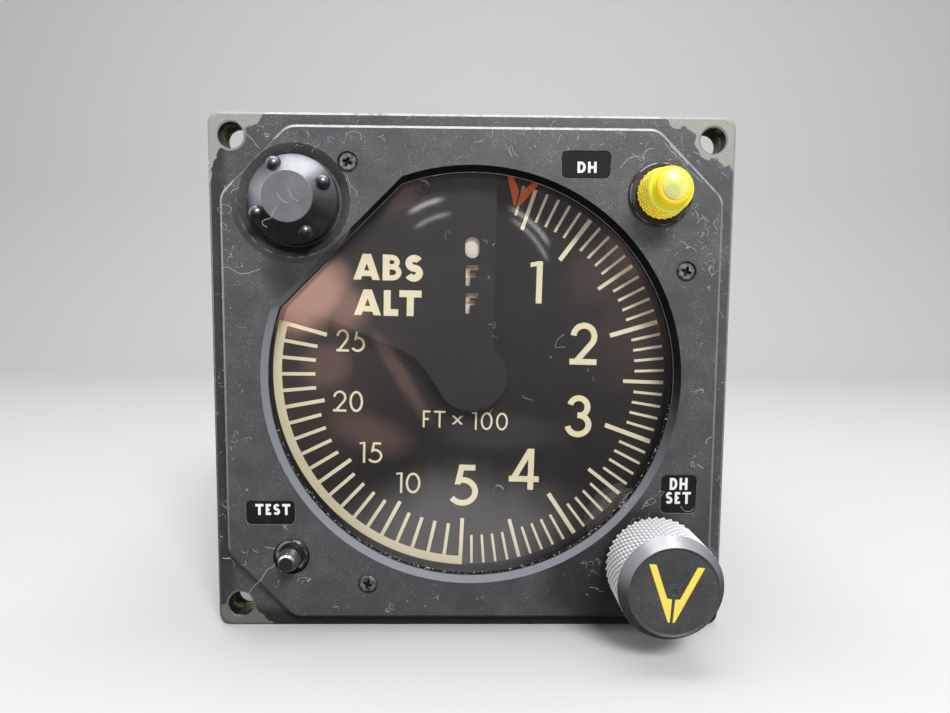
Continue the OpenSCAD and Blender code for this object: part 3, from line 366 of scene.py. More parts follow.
# Turned rings: dark metal that is worn bright along one circle
def wornRing(name, color, axis, radius, width, worn, shadeFrom):  # black beyond the given radius: painted shade in the gap round the ring
    finish = Finish(name, metallic=0.6)
    at, x, _, z = finish.spot()
    away = radial(x, z, axis)
    fine, blotch = finish.noise(at, 3.0), finish.noise(at, 0.9)
    rim = (1 - finish.step(abs(away - radius), width * 0.4, width)) * finish.step(blotch, 0.44, 0.6)
    # black beyond the radius: painted shade in the gap round the ring
    tint = finish.mix(finish.step(away, shadeFrom, shadeFrom + 0.08), finish.shades(fine, color, 0.7, 1.2), (7, 7, 7))
    finish.put("Base Color", finish.mix(rim, dusty(finish, at, tint, 0.8), worn))
    finish.put("Roughness", 0.34 + fine * 0.2)
    return finish.done(fine, 0.02)


# Face screws: worn heads; the cross recess painted black as shade
screwLook = {
    "at": [(-19.3, 33.43), (33.44, 17.19), (-16.58, -33.41)], "head": (146, 144, 139), "pit": (8, 8, 8),
    "face": -7.7, "pitRadius": 0.95,
}


def screwMetal():
    look = screwLook
    finish = Finish("screwMetal", metallic=0.6, roughness=0.4)
    at, x, y, z = finish.spot()
    fine, blotch = finish.noise(at, 4.0), finish.noise(at, 1.3)
    head = finish.shades(finish.step(blotch, 0.35, 0.65), look["head"], 0.5, 1)
    within = most([1 - finish.step(radial(x, z, spot), look["pitRadius"] - 0.05, look["pitRadius"])
                   for spot in look["at"]])
    # the recess below the face painted black as shade
    pit = finish.step(y, look["face"] + 0.03, look["face"] + 0.12) * within
    finish.put("Base Color", finish.mix(pit, dusty(finish, at, head, 0.6), look["pit"]))
    finish.put("Metallic", 0.6 - pit * 0.6)
    finish.put("Roughness", 0.36 + fine * 0.2 + pit * 0.3)
    return finish.done(fine, 0.03)


# Flush screws of dial and mask: dark heads, painted shade black at the rim and in the cross, a painted highlight
# along the upper side of the rim
flushLook = {
    "at": [(4.6, -19.8), (-4.6, 19.8), (-8, 30.4), (-21.6, 22.4)], "head": (50, 47, 45), "rubbedAndLit": (186, 180, 172),
    "pit": (8, 8, 8), "radius": 1.25,
}


def flushScrewMetal():
    look = flushLook
    finish = Finish("flushScrewMetal", roughness=0.45)
    at, x, _, z = finish.spot()
    fine = finish.noise(at, 3.0)
    recessShades, glints, r = [], [], look["radius"]
    for px, pz in look["at"]:
        away = radial(x, z, (px, pz))
        # a black ring at the head's rim and a black blob for the cross: painted shade
        recessShades.append(finish.step(away, r - 0.2, r - 0.1) * (1 - finish.step(away, r + 0.3, r + 0.4)))
        recessShades.append(1 - finish.step(away + (fine - 0.5) * 0.5, 0.42, 0.6))
        # the upper side of each rim: painted highlight
        upper = finish.step((x - px) * 0.5 + (z - pz), 0.5, 1.1)
        glints.append((1 - finish.step(abs(away - r + 0.26), 0.05, 0.14)) * upper)
    color = finish.mix(most(glints), finish.shades(fine, look["head"], 0.8, 1.2), look["rubbedAndLit"])
    finish.put("Base Color", finish.mix(most(recessShades), color, look["pit"]))
    finish.put("Roughness", 0.4 + fine * 0.2)
    return finish.done(fine, 0.01)


# Knob face: black, turned in fine rings
def knobFacePaint(axis):
    finish = Finish("knobFacePaint", roughness=0.5)
    at, x, _, z = finish.spot()
    rings = finish.noise(finish.add("CombineXYZ", sockets={"X": radial(x, z, axis)}), 5.0, 2.0)
    fine = finish.noise(at, 2.5)
    color = finish.mix(rings * 0.5 + fine * 0.5, *knobLook["face"])
    finish.put("Base Color", dusty(finish, at, color, 0.9))
    finish.put("Roughness", 0.5 + (fine - 0.5) * 0.2)
    return finish.done(rings * 0.4 + fine * 0.6, 0.012)


# Yellow lens: clear dyed plastic, golden in its knurl, greenish at the neck, pale at the tip where the bulb shows,
# with a faint painted glow in its own colour
lensLook = {
    "at": (28.921, 28.921), "deep": (214, 170, 12), "skirt": (255, 248, 92), "shoulder": (255, 246, 120),
    "neck": (206, 210, 40), "ring": (250, 206, 40), "tip": (202, 208, 112), "bulb": (178, 184, 122),
    "bulbAt": (-0.62, -0.8), "radius": 3.94, "taper": 0.138, "knurlFrom": -9.2,
    "bands": [(-13.38, -13.44, "shoulder"), (-13.66, -13.72, "neck"), (-14.5, -14.8, "ring"),
        (-15.66, -15.76, "tip")],
}


def lensPlastic():
    look = lensLook
    # the emission is a painted glow standing in for light through the plastic
    finish = Finish("lensPlastic", roughness=0.16, Coat_Weight=0.8, Coat_Roughness=0.08, Emission_Strength=0.16)
    at, x, y, z = finish.spot()
    fine = finish.noise(at, 1.6)
    height = radial(x, z, look["at"]) - look["radius"] - (y - look["knurlFrom"]) * look["taper"]
    color = finish.mix(finish.step(height + (fine - 0.5) * 0.2, -0.2, -0.07), look["deep"], look["skirt"])
    for high, low, key in look["bands"]:
        ahead = 1 - finish.step(y, low, high)
        color = finish.mix(ahead, color, look[key])
    bulbAt = [c + offset for c, offset in zip(look["at"], look["bulbAt"])]
    color = finish.mix((1 - finish.step(radial(x, z, bulbAt), 1.0, 1.3)) * ahead, color, look["bulb"])
    color = finish.mix(fine * 0.25, color, look["ring"])
    finish.put("Base Color", color)
    # the painted glow takes the lens's own colour
    finish.put("Emission Color", color)
    finish.put("Roughness", 0.14 + fine * 0.12)
    return finish.done(fine, 0.015)


knobAxis = (29.2035, -29.2035)
paints = {  # each finish, and the nodes that have it
    "bezel_paint": (bezelPaint(), "bezel"),
    "window_glass": (coatedGlass(), "window_glass"),
    "dial_paint": (dialPaint("dialPaint", (38, 36, 35)), "dial glass_retainer"),
    "mask_paint": (dialPaint("maskPaint", (47, 46, 45)), "dial_mask"),
    "print": (printInk("creamInk", (250, 237, 200)), ""),
    "white_print": (printInk("whiteInk", (226, 226, 222)), ""),
    "lint": (printInk("lintGrey", (212, 211, 208)), ""),
    "yellow_print": (printInk("yellowInk", (228, 206, 84)), ""),
    "flag_white": (flagPaint(), "off_flag"),
    "knob_grey": (knobMetal(knobAxis), "dh_knob"),
    "knob_face": (knobFacePaint(knobAxis), ""),
    "lens_yellow": (lensPlastic(), "warning_lens"),
    "case_paint": (
        plain("casePaint", (52, 52, 54), roughness=0.5, grain=2.6, spread=0.12, relief=0.06, dust=0.4),
        "case rear_cover"),
    "seal_rubber": (plain("sealRubber", (26, 26, 26), roughness=0.75), "glass_seal case_seal"),
    "screw_black": (plain("blackenedScrew", (58, 57, 56), 0.6, 0.4, spread=0.4, dust=0.6),
        "cover_screws knob_nut"),
    "screw_worn": (screwMetal(), "face_screws"),
    "screw_flush": (flushScrewMetal(), "dial_screws mask_screws"),
    "label_black": (plain("labelBlack", (24, 24, 25), roughness=0.6, dust=0.25, Specular_IOR_Level=0.2),
        "label_dh label_test label_dh_set"),
    "cap_black": (capMetal(), "lamp_cap"),
    "lamp_brass": (plain("lampBrass", (186, 150, 82), 0.9, 0.35),
        "lamp_holder knob_bushing knob_pinion pointer_gear front_bearing rear_bearing"),
    "bulb_glass": (plain("bulbGlass", (226, 220, 196), roughness=0.15), "dial_lamp warning_bulb"),
    "socket_ring": (wornRing("socketRing", (62, 58, 55), lensLook["at"], 4.72, 0.14, (146, 144, 142), 9),
        "warning_socket"),
    "collar_dark": (wornRing("collarDark", (54, 51, 48), (-28.59, -28.41), 2.3, 0.26, (170, 166, 160), 2.56),
        "test_collar"),
    "socket_dark": (plain("socketDark", (54, 52, 50), 0.4, 0.38, dust=0.6), "test_switch flag_actuator"),
    "button_black": (buttonMetal(), "test_button"),
    "shaft_steel": (plain("shaftSteel", (166, 167, 170), 1.0, 0.3, relief=0.006),
        "knob_setscrew knob_shaft pointer_shaft motor_pinion flag_shaft test_spring"),
    "plate_alloy": (plain("plateAlloy", (178, 179, 181), 0.9, 0.42, relief=0.01),
        "mask_spacers bug_ring front_plate rear_plate plate_pillars board_spacers"),
    "pointer_cream": (plain("pointerCream", (222, 212, 176), roughness=0.6), "pointer"),
    "bug_orange": (plain("bugOrange", (255, 106, 22), roughness=0.6, spread=0.1, Specular_IOR_Level=0.2),
        "dh_bug"),
    "pot_blue": (plain("potBlue", (52, 76, 116), roughness=0.4), "dh_potentiometer feedback_potentiometer"),
    "motor_grey": (plain("motorGrey", (142, 144, 148), 0.8, 0.4), "servo_motor"),
    "board_green": (plain("boardGreen", (44, 92, 58), roughness=0.45), "servo_board lamp_board supply_board"),
    "coil_brown": (plain("coilBrown", (116, 84, 56), roughness=0.5), "transformer"),
    "sleeve_blue": (plain("sleeveBlue", (44, 58, 126), roughness=0.35), "capacitors"),
    "connector_olive": (plain("connectorOlive", (74, 76, 60), 0.6, 0.45, dust=0.4), "connector_shell"),
    "pin_gold": (plain("pinGold", (214, 172, 84), 1.0, 0.28), "connector_pins"),
}
for material, members in paints.values():
    for member in members.split():
        nodes[member].data.materials.clear()
        nodes[member].data.materials.append(material)
print("finishes on", sum(len(members.split()) for _, members in paints.values()), "nodes")


# Modelling helpers

def deselect():
    bpy.ops.object.select_all(action="DESELECT")


def mode(name):
    bpy.ops.object.mode_set(mode=name)


def settle(name, paint, body, stands=()):
    piece = bpy.context.object
    bpy.ops.object.transform_apply(location=True, rotation=True, scale=True)
    piece.name = piece.data.name = name
    piece.data.materials.clear()
    piece.data.materials.append(paints[paint][0])
    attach(piece, body)
    if stands:
        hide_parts(*stands)
    piece.select_set(False)
    return piece


def lathe(profile, axis, steps):  # profile points are (radius, depth), turned about the axis at (x, z)
    deselect()
    bpy.ops.mesh.primitive_plane_add(size=mm)
    mode("EDIT")
    bpy.ops.mesh.merge(type="CENTER")
    spots = [Vector((axis[0] + r, y, axis[1])) * mm for r, y in profile]
    bpy.ops.transform.translate(value=spots[0])
    for a, b in zip(spots, spots[1:]):
        bpy.ops.mesh.extrude_vertices_move(TRANSFORM_OT_translate={"value": b - a})
    bpy.ops.mesh.select_all(action="SELECT")
    bpy.ops.mesh.spin(steps=steps, angle=2 * math.pi, center=(axis[0] * mm, 0, axis[1] * mm), axis=(0, 1, 0))
    bpy.ops.mesh.select_all(action="SELECT")
    bpy.ops.mesh.remove_doubles(threshold=0.002 * mm)
    bpy.ops.mesh.normals_make_consistent(inside=False)
    mode("OBJECT")
    return bpy.context.object


def knurl(piece, axis, start, pitch, last, points, least, depth):
    for vertex in piece.data.vertices:  # every second point round and along is sunk, which leaves pyramids
        out = Vector((vertex.co.x - axis[0] * mm, 0, vertex.co.z - axis[1] * mm))
        row = (vertex.co.y / mm - start) / pitch
        if abs(row - round(row)) < 1e-3 and -0.5 < row < last and out.length > least * mm:
            column = round(math.atan2(out.z, out.x) / (math.pi / points))
            if (column + round(row)) % 2:
                vertex.co -= out.normalized() * depth * mm
    mode("EDIT")
    bpy.ops.mesh.select_all(action="SELECT")
    bpy.ops.mesh.quads_convert_to_tris(quad_method="SHORTEST_DIAGONAL")
    mode("OBJECT")


def inkShapes(name, layers, front, paint, body):  # closed outlines in mm, filled and given thickness
    rise, lift = 0.05, 0.004  # later layers stand a little higher
    deselect()
    pieces = []
    for depth, shapes in enumerate(layers):
        curve = bpy.data.curves.new(name, "CURVE")
        curve.dimensions, curve.fill_mode, curve.extrude = "2D", "BOTH", (rise + lift * depth) * mm
        for outline in shapes:
            spline = curve.splines.new("POLY")
            spline.use_cyclic_u = True
            spline.points.add(len(outline) - 1)
            for knot, (x, z) in zip(spline.points, outline):
                knot.co = (x * mm, z * mm, 0, 1)
        pieces.append(bpy.data.objects.new(name, curve))
        bpy.context.scene.collection.objects.link(pieces[-1])
        pieces[-1].select_set(True)
    bpy.context.view_layer.objects.active = pieces[0]
    bpy.ops.object.convert(target="MESH")
    if len(pieces) > 1:
        bpy.ops.object.join()
    piece = bpy.context.object
    piece.rotation_euler.x = math.pi / 2
    piece.location.y = front * mm
    return settle(name, paint, body)


def bow(cx, cz, rx, rz, start, end, steps=18):
    return [(cx + rx * math.cos(math.radians(start + (end - start) * i / steps)),
             cz + rz * math.sin(math.radians(start + (end - start) * i / steps))) for i in range(steps + 1)]


def stroke(points, width, ends=(None, None)):  # outlines of a square pen's line; an end may stop at x or z
    points = [p for i, p in enumerate(points) if i == 0 or math.dist(p, points[i - 1]) > 1e-6]
    closed = len(points) > 2 and math.dist(points[0], points[-1]) < 1e-6
    knots = [Vector(p) for p in (points[:-1] if closed else points)]
    count = len(knots)
    sides = [[], []]
    for i, knot in enumerate(knots):
        before = (knot - knots[i - 1]).normalized() if closed or i > 0 else None
        after = (knots[(i + 1) % count] - knot).normalized() if closed or i < count - 1 else None
        way = ((before or after) + (after or before)).normalized()
        across = Vector((-way.y, way.x)) * width / 2
        if before and after:
            across /= max(0.5, way.dot(after))
        stop = None if closed else ends[0] if i == 0 else ends[1] if i == count - 1 else None
        for side, spot in zip(sides, (knot + across, knot - across)):
            if stop:
                run = "xz".index(stop[0])
                spot = spot + way * (stop[1] - spot[run]) / way[run]
            side.append(tuple(spot))
    return sides if closed else [sides[0] + sides[1][::-1]]


# Letters and numbers as pen lines in a box of one by one: width against height, then lines with their two ends
# (l: cut level, p: cut plumb, o: cut square) and the pen's width
letters = {
    "0": (0.66, [(bow(0.5, 0.5, 0.5, 0.5, 0, 360, 40), "oo", 1)]),
    "1": (0.30, [([(0.9, 0), (0.9, 1)], "ll", 1), ([(0.9, 1.02), (0, 0.99)], "op", 0.75)]),
    "2": (0.65, [(bow(0.5, 0.7, 0.49, 0.3, 176, -43) + [(0.16, 0)], "ol", 1), ([(0, 0), (1, 0)], "pp", 1)]),
    "3": (0.65,
        [(bow(0.5, 0.755, 0.42, 0.245, 165, -80), "oo", 1), (bow(0.5, 0.265, 0.5, 0.265, 95, -170), "oo", 1)]),
    "4": (0.73,
        [([(0.7, 1), (0.05, 0.2)], "ll", 1), ([(0, 0.22), (1, 0.22)], "pp", 1), ([(0.78, 0), (0.78, 1)], "ll", 1)]),
    "5": (0.67,
        [([(0.98, 1), (0.36, 1), (0.19, 0.52)], "pl", 1), (bow(0.42, 0.325, 0.58, 0.325, 105, -145), "oo", 1)]),
    "A": (1.0,
        [([(0.05, 0), (0.41, 1)], "ll", 1), ([(0.95, 0), (0.59, 1)], "ll", 1),
            ([(0.2, 0.16), (0.8, 0.16)], "oo", 0.8)]),
    "B": (0.74,
        [([(0, 0), (0, 1)], "ll", 1),
            ([(0, 1.04), (0.42, 1.04)] + bow(0.42, 0.79, 0.47, 0.25, 90, -90) + [(0, 0.54)], "oo", 0.75),
            ([(0, 0.54), (0.48, 0.54)] + bow(0.48, 0.25, 0.56, 0.29, 90, -90) + [(0, -0.04)], "oo", 0.75)]),
    "S": (0.71, [(bow(0.52, 0.755, 0.46, 0.245, 28, 262) + bow(0.5, 0.255, 0.5, 0.255, 82, -155), "oo", 1)]),
    "L": (0.56, [([(0, 1), (0, 0), (1, 0)], "lp", 1)]),
    "T": (0.86, [([(0, 1), (1, 1)], "pp", 1), ([(0.5, 1), (0.5, 0)], "ll", 1)]),
    "F": (0.55, [([(1, 1), (0, 1), (0, 0)], "pl", 1), ([(0, 0.5), (0.92, 0.5)], "oo", 1)]),
    "x": (0.95, [([(0, 0), (1, 1)], "ll", 1), ([(0, 1), (1, 0)], "ll", 1)]),
    "D": (0.72, [([(0, 0), (0, 1), (0.4, 1)] + bow(0.4, 0.5, 0.6, 0.5, 84, -84) + [(0.4, 0), (0, 0)], "oo", 1)]),
    "H": (0.75, [([(0, 0), (0, 1)], "ll", 1), ([(1, 0), (1, 1)], "ll", 1), ([(0, 0.5), (1, 0.5)], "oo", 1)]),
    "E": (0.56, [([(1, 1), (0, 1), (0, 0), (1, 0)], "pp", 1), ([(0, 0.5), (0.9, 0.5)], "oo", 1)]),
}


def word(layers, text, left, right, bottom, top, pen, gap, lean):  # fills its box, turned by lean degrees
    high = top - bottom
    wide = [letters[c][0] * high for c in text]
    fill = (right - left - gap * (len(text) - 1)) / sum(wide)
    cx, cz, turn = (left + right) / 2, (bottom + top) / 2, math.radians(lean)
    at = left
    for c, w in zip(text, wide):
        w *= fill
        for depth, (points, ends, share) in enumerate(letters[c][1]):
            spots = [(at + pen / 2 + u * (w - pen), bottom + pen / 2 + v * (high - pen)) for u, v in points]
            stops = []
            for end, (u, v), spot in zip(ends, (points[0], points[-1]), (spots[0], spots[-1])):
                level = bottom if v == 0 else top if v == 1 else spot[1]
                plumb = at if u == 0 else at + w if u == 1 else spot[0]
                stops.append({"l": ("z", level), "p": ("x", plumb), "o": None}[end])
            for outline in stroke(spots, pen * share, stops):
                layers[depth].append([(cx + (x - cx) * math.cos(turn) + (z - cz) * math.sin(turn),
                                       cz - (x - cx) * math.sin(turn) + (z - cz) * math.cos(turn))
                                      for x, z in outline])
        at += w + gap


# Dial print: scale, numbers and unit
dialPrint = {
    "front": -1.2, "start": 0.35, "perFoot": 0.36574, "first": 40, "outer": 32.3, "centre": (0.0, -0.12),
    "inner": {10: 27.4, 50: 25.5, 100: 24.1}, "width": {10: 0.44, 50: 0.6, 100: 0.74}, "bandRadius": 31.95,
    "bandWidth": 1.45, "bandFrom": 182.5, "bandOver": 0.56, "perHundred": 5.146, "leftCentre": (-0.3, 0.0),
    "leftInner": {100: 25.7, 500: 24.6}, "leftWidth": {100: 0.58, 500: 0.64}, "lean": 1.2,
    "sets": [
        (0.98, 0, [("1", 9.6, 11.75, 12.0, 18.95), ("2", 16.45, 21.0, 1.8, 8.85), ("3", 15.8, 20.35, -10.5, -3.35),
                ("4", 6.5, 11.6, -19.55, -12.5), ("5", -3.4, 1.3, -22.4, -15.3)]),
        (0.38, 0.5, [("25", -22.45, -17.7, 3.75, 7.45), ("20", -23.1, -18.1, -6.35, -2.8),
                ("15", -18.75, -14.9, -15.05, -11.5), ("10", -12.6, -8.5, -20.25, -16.7)]),
        (0.32, 0.6,
            [("FT", -8.1, -4.3, -8.95, -6.1), ("x", -3.0, -1.55, -8.4, -6.95), ("100", 0.15, 6.2, -9.35, -6.35)])],
}


def ray(centre, inner, outer, angle):
    turn = math.radians(angle)
    return [(centre[0] + r * math.sin(turn), centre[1] + r * math.cos(turn)) for r in (inner, outer)]


def printWords(name, look, paint):  # sets of words: the pen's width, the gap between letters, text and box
    layers = [[], [], []]
    for pen, gap, words in look["sets"]:
        for text, *box in words:
            word(layers, text, *box, pen, gap, look["lean"])
    inkShapes(name, layers, look["front"], paint, "housing")


look = dialPrint
ticks = []
for feet in range(look["first"], 500, 10):
    rank = 100 if feet % 100 == 0 else 50 if feet % 50 == 0 else 10
    ticks += stroke(ray(look["centre"], look["inner"][rank], look["outer"], look["start"] + look["perFoot"] * feet),
                    look["width"][rank])
for count in range(21):
    rank = 500 if count % 5 == 0 else 100
    ticks += stroke(ray(look["leftCentre"], look["leftInner"][rank], look["bandRadius"],
                        look["bandFrom"] + look["perHundred"] * count), look["leftWidth"][rank])
bandEnd = look["bandFrom"] + 20 * look["perHundred"]
band = bow(*look["leftCentre"], look["bandRadius"], look["bandRadius"], 90 - look["bandFrom"] + look["bandOver"],
           90 - bandEnd - look["bandOver"], 120)
inkShapes("dialScale", [ticks, stroke(band, look["bandWidth"])], look["front"], "print", "housing")
printWords("dialNumbers", look, "print")
print("dial print made")

# Mask print and the letters of the three labels
maskPrint = {
    "front": -3.6, "lean": 1.0,
    "sets": [
        (1.12, 0, [("A", -19.05, -14.95, 15.6, 19.75), ("B", -14.45, -11.35, 15.5, 19.65),
                ("S", -10.9, -7.95, 15.35, 19.65), ("A", -19.0, -14.8, 9.9, 14.05), ("L", -14.3, -11.95, 9.8, 13.95),
                ("T", -11.8, -8.2, 9.8, 13.95)])],
}
printWords("maskWords", maskPrint, "print")
labelPrint = {
    "front": -7.6, "lean": 0.0,
    "sets": [
        (0.4, 0.36, [("TEST", -34.4, -28.85, -22.0, -20.2), ("DH", 16.05, 19.0, 32.15, 33.85),
                ("DH", 31.95, 34.8, -17.7, -15.75), ("SET", 31.35, 35.4, -20.0, -18.05)])],
}
printWords("labelWords", labelPrint, "white_print")
print("mask and label print made")

# Setting knob: lathe-turned body with a diamond knurl, a set screw's hole, a dished black face and a filled V
knob = {
    "front": -20.4, "back": -9.8, "radius": 7.95, "faceRadius": 6.7, "chamfer": 1.9, "dish": 0.25, "points": 42,
    "rows": 13, "depth": 0.45, "knurlFrom": -18.3, "knurlTo": -10.2, "bore": 1.6, "boreEnd": -18.2, "screwY": -12.8,
    "screwHole": 1.05, "drill": 8, "drillAt": 6, "smooth": 16, "faceSmooth": 30, "markTurn": 4.2, "markFront": -20.15,
    "mark": [(4.04, 3.95), (3.0, 3.95), (0.95, -0.95), (0.24, -1.03), (0.2, -4.46), (0.5, -4.46)],
}


def turnKnob():
    r, front, back, start, rows = (knob[key] for key in ("radius", "front", "back", "knurlFrom", "rows"))
    tip, pitch = r - 0.03, (knob["knurlTo"] - start) / rows
    profile = [(knob["faceRadius"] - 0.1, front), (knob["faceRadius"], front), (r - 0.08, front + knob["chamfer"]),
               (r - 0.08, start - 0.05)]
    profile += [(tip, start + pitch * i) for i in range(rows + 1)]
    profile += [(r - knob["depth"], knob["knurlTo"] + 0.05), (r - 0.5, back), (knob["bore"], back),
                (knob["bore"], knob["boreEnd"]), (0.0, knob["boreEnd"])]
    piece = lathe(profile, knobAxis, 2 * knob["points"])
    knurl(piece, knobAxis, start, pitch, rows + 0.5, knob["points"], tip - 0.01, knob["depth"])
    aside = Vector((1, 0, -1)).normalized()
    bpy.ops.mesh.primitive_cylinder_add(vertices=32, radius=knob["screwHole"] * mm, depth=knob["drill"] * mm)
    drill = bpy.context.object
    drill.rotation_mode = "QUATERNION"
    drill.rotation_quaternion = aside.to_track_quat("Z", "Y")
    drill.location = Vector((knobAxis[0], knob["screwY"], knobAxis[1])) * mm + aside * knob["drillAt"] * mm
    bpy.context.view_layer.objects.active = piece
    cut = piece.modifiers.new("screwHole", "BOOLEAN")
    cut.operation, cut.object = "DIFFERENCE", drill
    bpy.ops.object.modifier_apply(modifier=cut.name)
    bpy.data.objects.remove(drill)
    deselect()
    piece.select_set(True)
    bpy.ops.object.shade_smooth_by_angle(angle=math.radians(knob["smooth"]))
    settle("knobBody", "knob_grey", "setting_knob", ["dh_knob"])


turnKnob()
base, faceRim = knob["front"] + knob["dish"], knob["faceRadius"]
profile = [(0.0, base + 0.2), (0.4, base + 0.14), (0.55, base), (0.9, base), (0.95, base + 0.02), (1.0, base),
           (1.25, base), (1.3, base + 0.02), (1.35, base), (faceRim - 0.4, base),
           (faceRim - 0.12, knob["front"] + 0.02), (faceRim - 0.02, knob["front"]),
           (faceRim - 0.1, knob["front"] + 1.0), (0.0, knob["front"] + 1.0)]
lathe(profile, knobAxis, 96)
bpy.ops.object.shade_smooth_by_angle(angle=math.radians(knob["faceSmooth"]))
settle("knobFace", "knob_face", "setting_knob")
turn = math.radians(knob["markTurn"])
mark = [[(knobAxis[0] + side * x * math.cos(turn) + z * math.sin(turn),
          knobAxis[1] - side * x * math.sin(turn) + z * math.cos(turn)) for x, z in knob["mark"]] for side in (-1, 1)]
inkShapes("knobMark", [mark], knob["markFront"], "yellow_print", "setting_knob")
print("knob made")

# Warning lens: diamond-knurled skirt, rounded shoulder, straight neck, rolled edge and domed tip
lens = {
    "foot": -8.5, "top": -16.2, "radius": 3.94, "frontRadius": 3.36, "knurlFrom": -9.2, "knurlTo": -13.4, "rows": 9,
    "points": 26, "depth": 0.2, "neck": 2.62, "neckEnd": -14.75, "roll": 0.7, "rollDeep": 0.95, "dome": 1.94,
    "domeFrom": -15.76, "domeHigh": 0.44, "bore": 2.3, "shoulder": (3.16, 0.17, 0.25), "smooth": 18,
}


def turnLens():
    foot, top, r, rows = (lens[key] for key in ("foot", "top", "radius", "rows"))
    neck, roll, dome = (lens[key] for key in ("neck", "roll", "dome"))
    pitch, taper = (lens["knurlTo"] - lens["knurlFrom"]) / rows, (lens["frontRadius"] - r) / rows
    bore, domeFrom, (middle, wide, deep) = lens["bore"], lens["domeFrom"], lens["shoulder"]
    profile = [(bore, foot), (r - 0.32, foot), (r - 0.14, lens["knurlFrom"] + 0.2)]
    profile += [(r + taper * i, lens["knurlFrom"] + pitch * i) for i in range(rows + 1)]
    profile += [(middle + wide * math.cos(a), lens["knurlTo"] - 0.1 - deep * math.sin(a))
                for a in (0.0, 0.5, 1.0, 1.5)]
    profile += [(2.9, -13.76), (2.7, -13.84), (neck, -14.0), (neck, -14.3), (neck + 0.04, lens["neckEnd"])]
    profile += [(neck + 0.04 - roll + roll * math.cos(a), lens["neckEnd"] - lens["rollDeep"] * math.sin(a))
                for a in (0.3, 0.6, 0.9, 1.2, 1.5)]
    profile += [(dome + 0.03, domeFrom + 0.06), (dome, domeFrom + 0.02)]
    profile += [(dome * math.cos(a), domeFrom - lens["domeHigh"] * math.sin(a)) for a in (0.3, 0.6, 0.9, 1.2)]
    profile += [(0.0, top), (0.0, top + 1.0), (0.8, top + 1.1), (1.6, -14.2), (1.9, -12.4), (bore, -10.6),
                (bore, foot)]
    piece = lathe(profile, lensLook["at"], 2 * lens["points"])
    knurl(piece, lensLook["at"], lens["knurlFrom"], pitch, rows - 0.5, lens["points"], 3, lens["depth"])
    bpy.ops.object.shade_smooth_by_angle(angle=math.radians(lens["smooth"]))
    settle("warningLens", "lens_yellow", "housing", ["warning_lens"])


turnLens()
print("lens made")

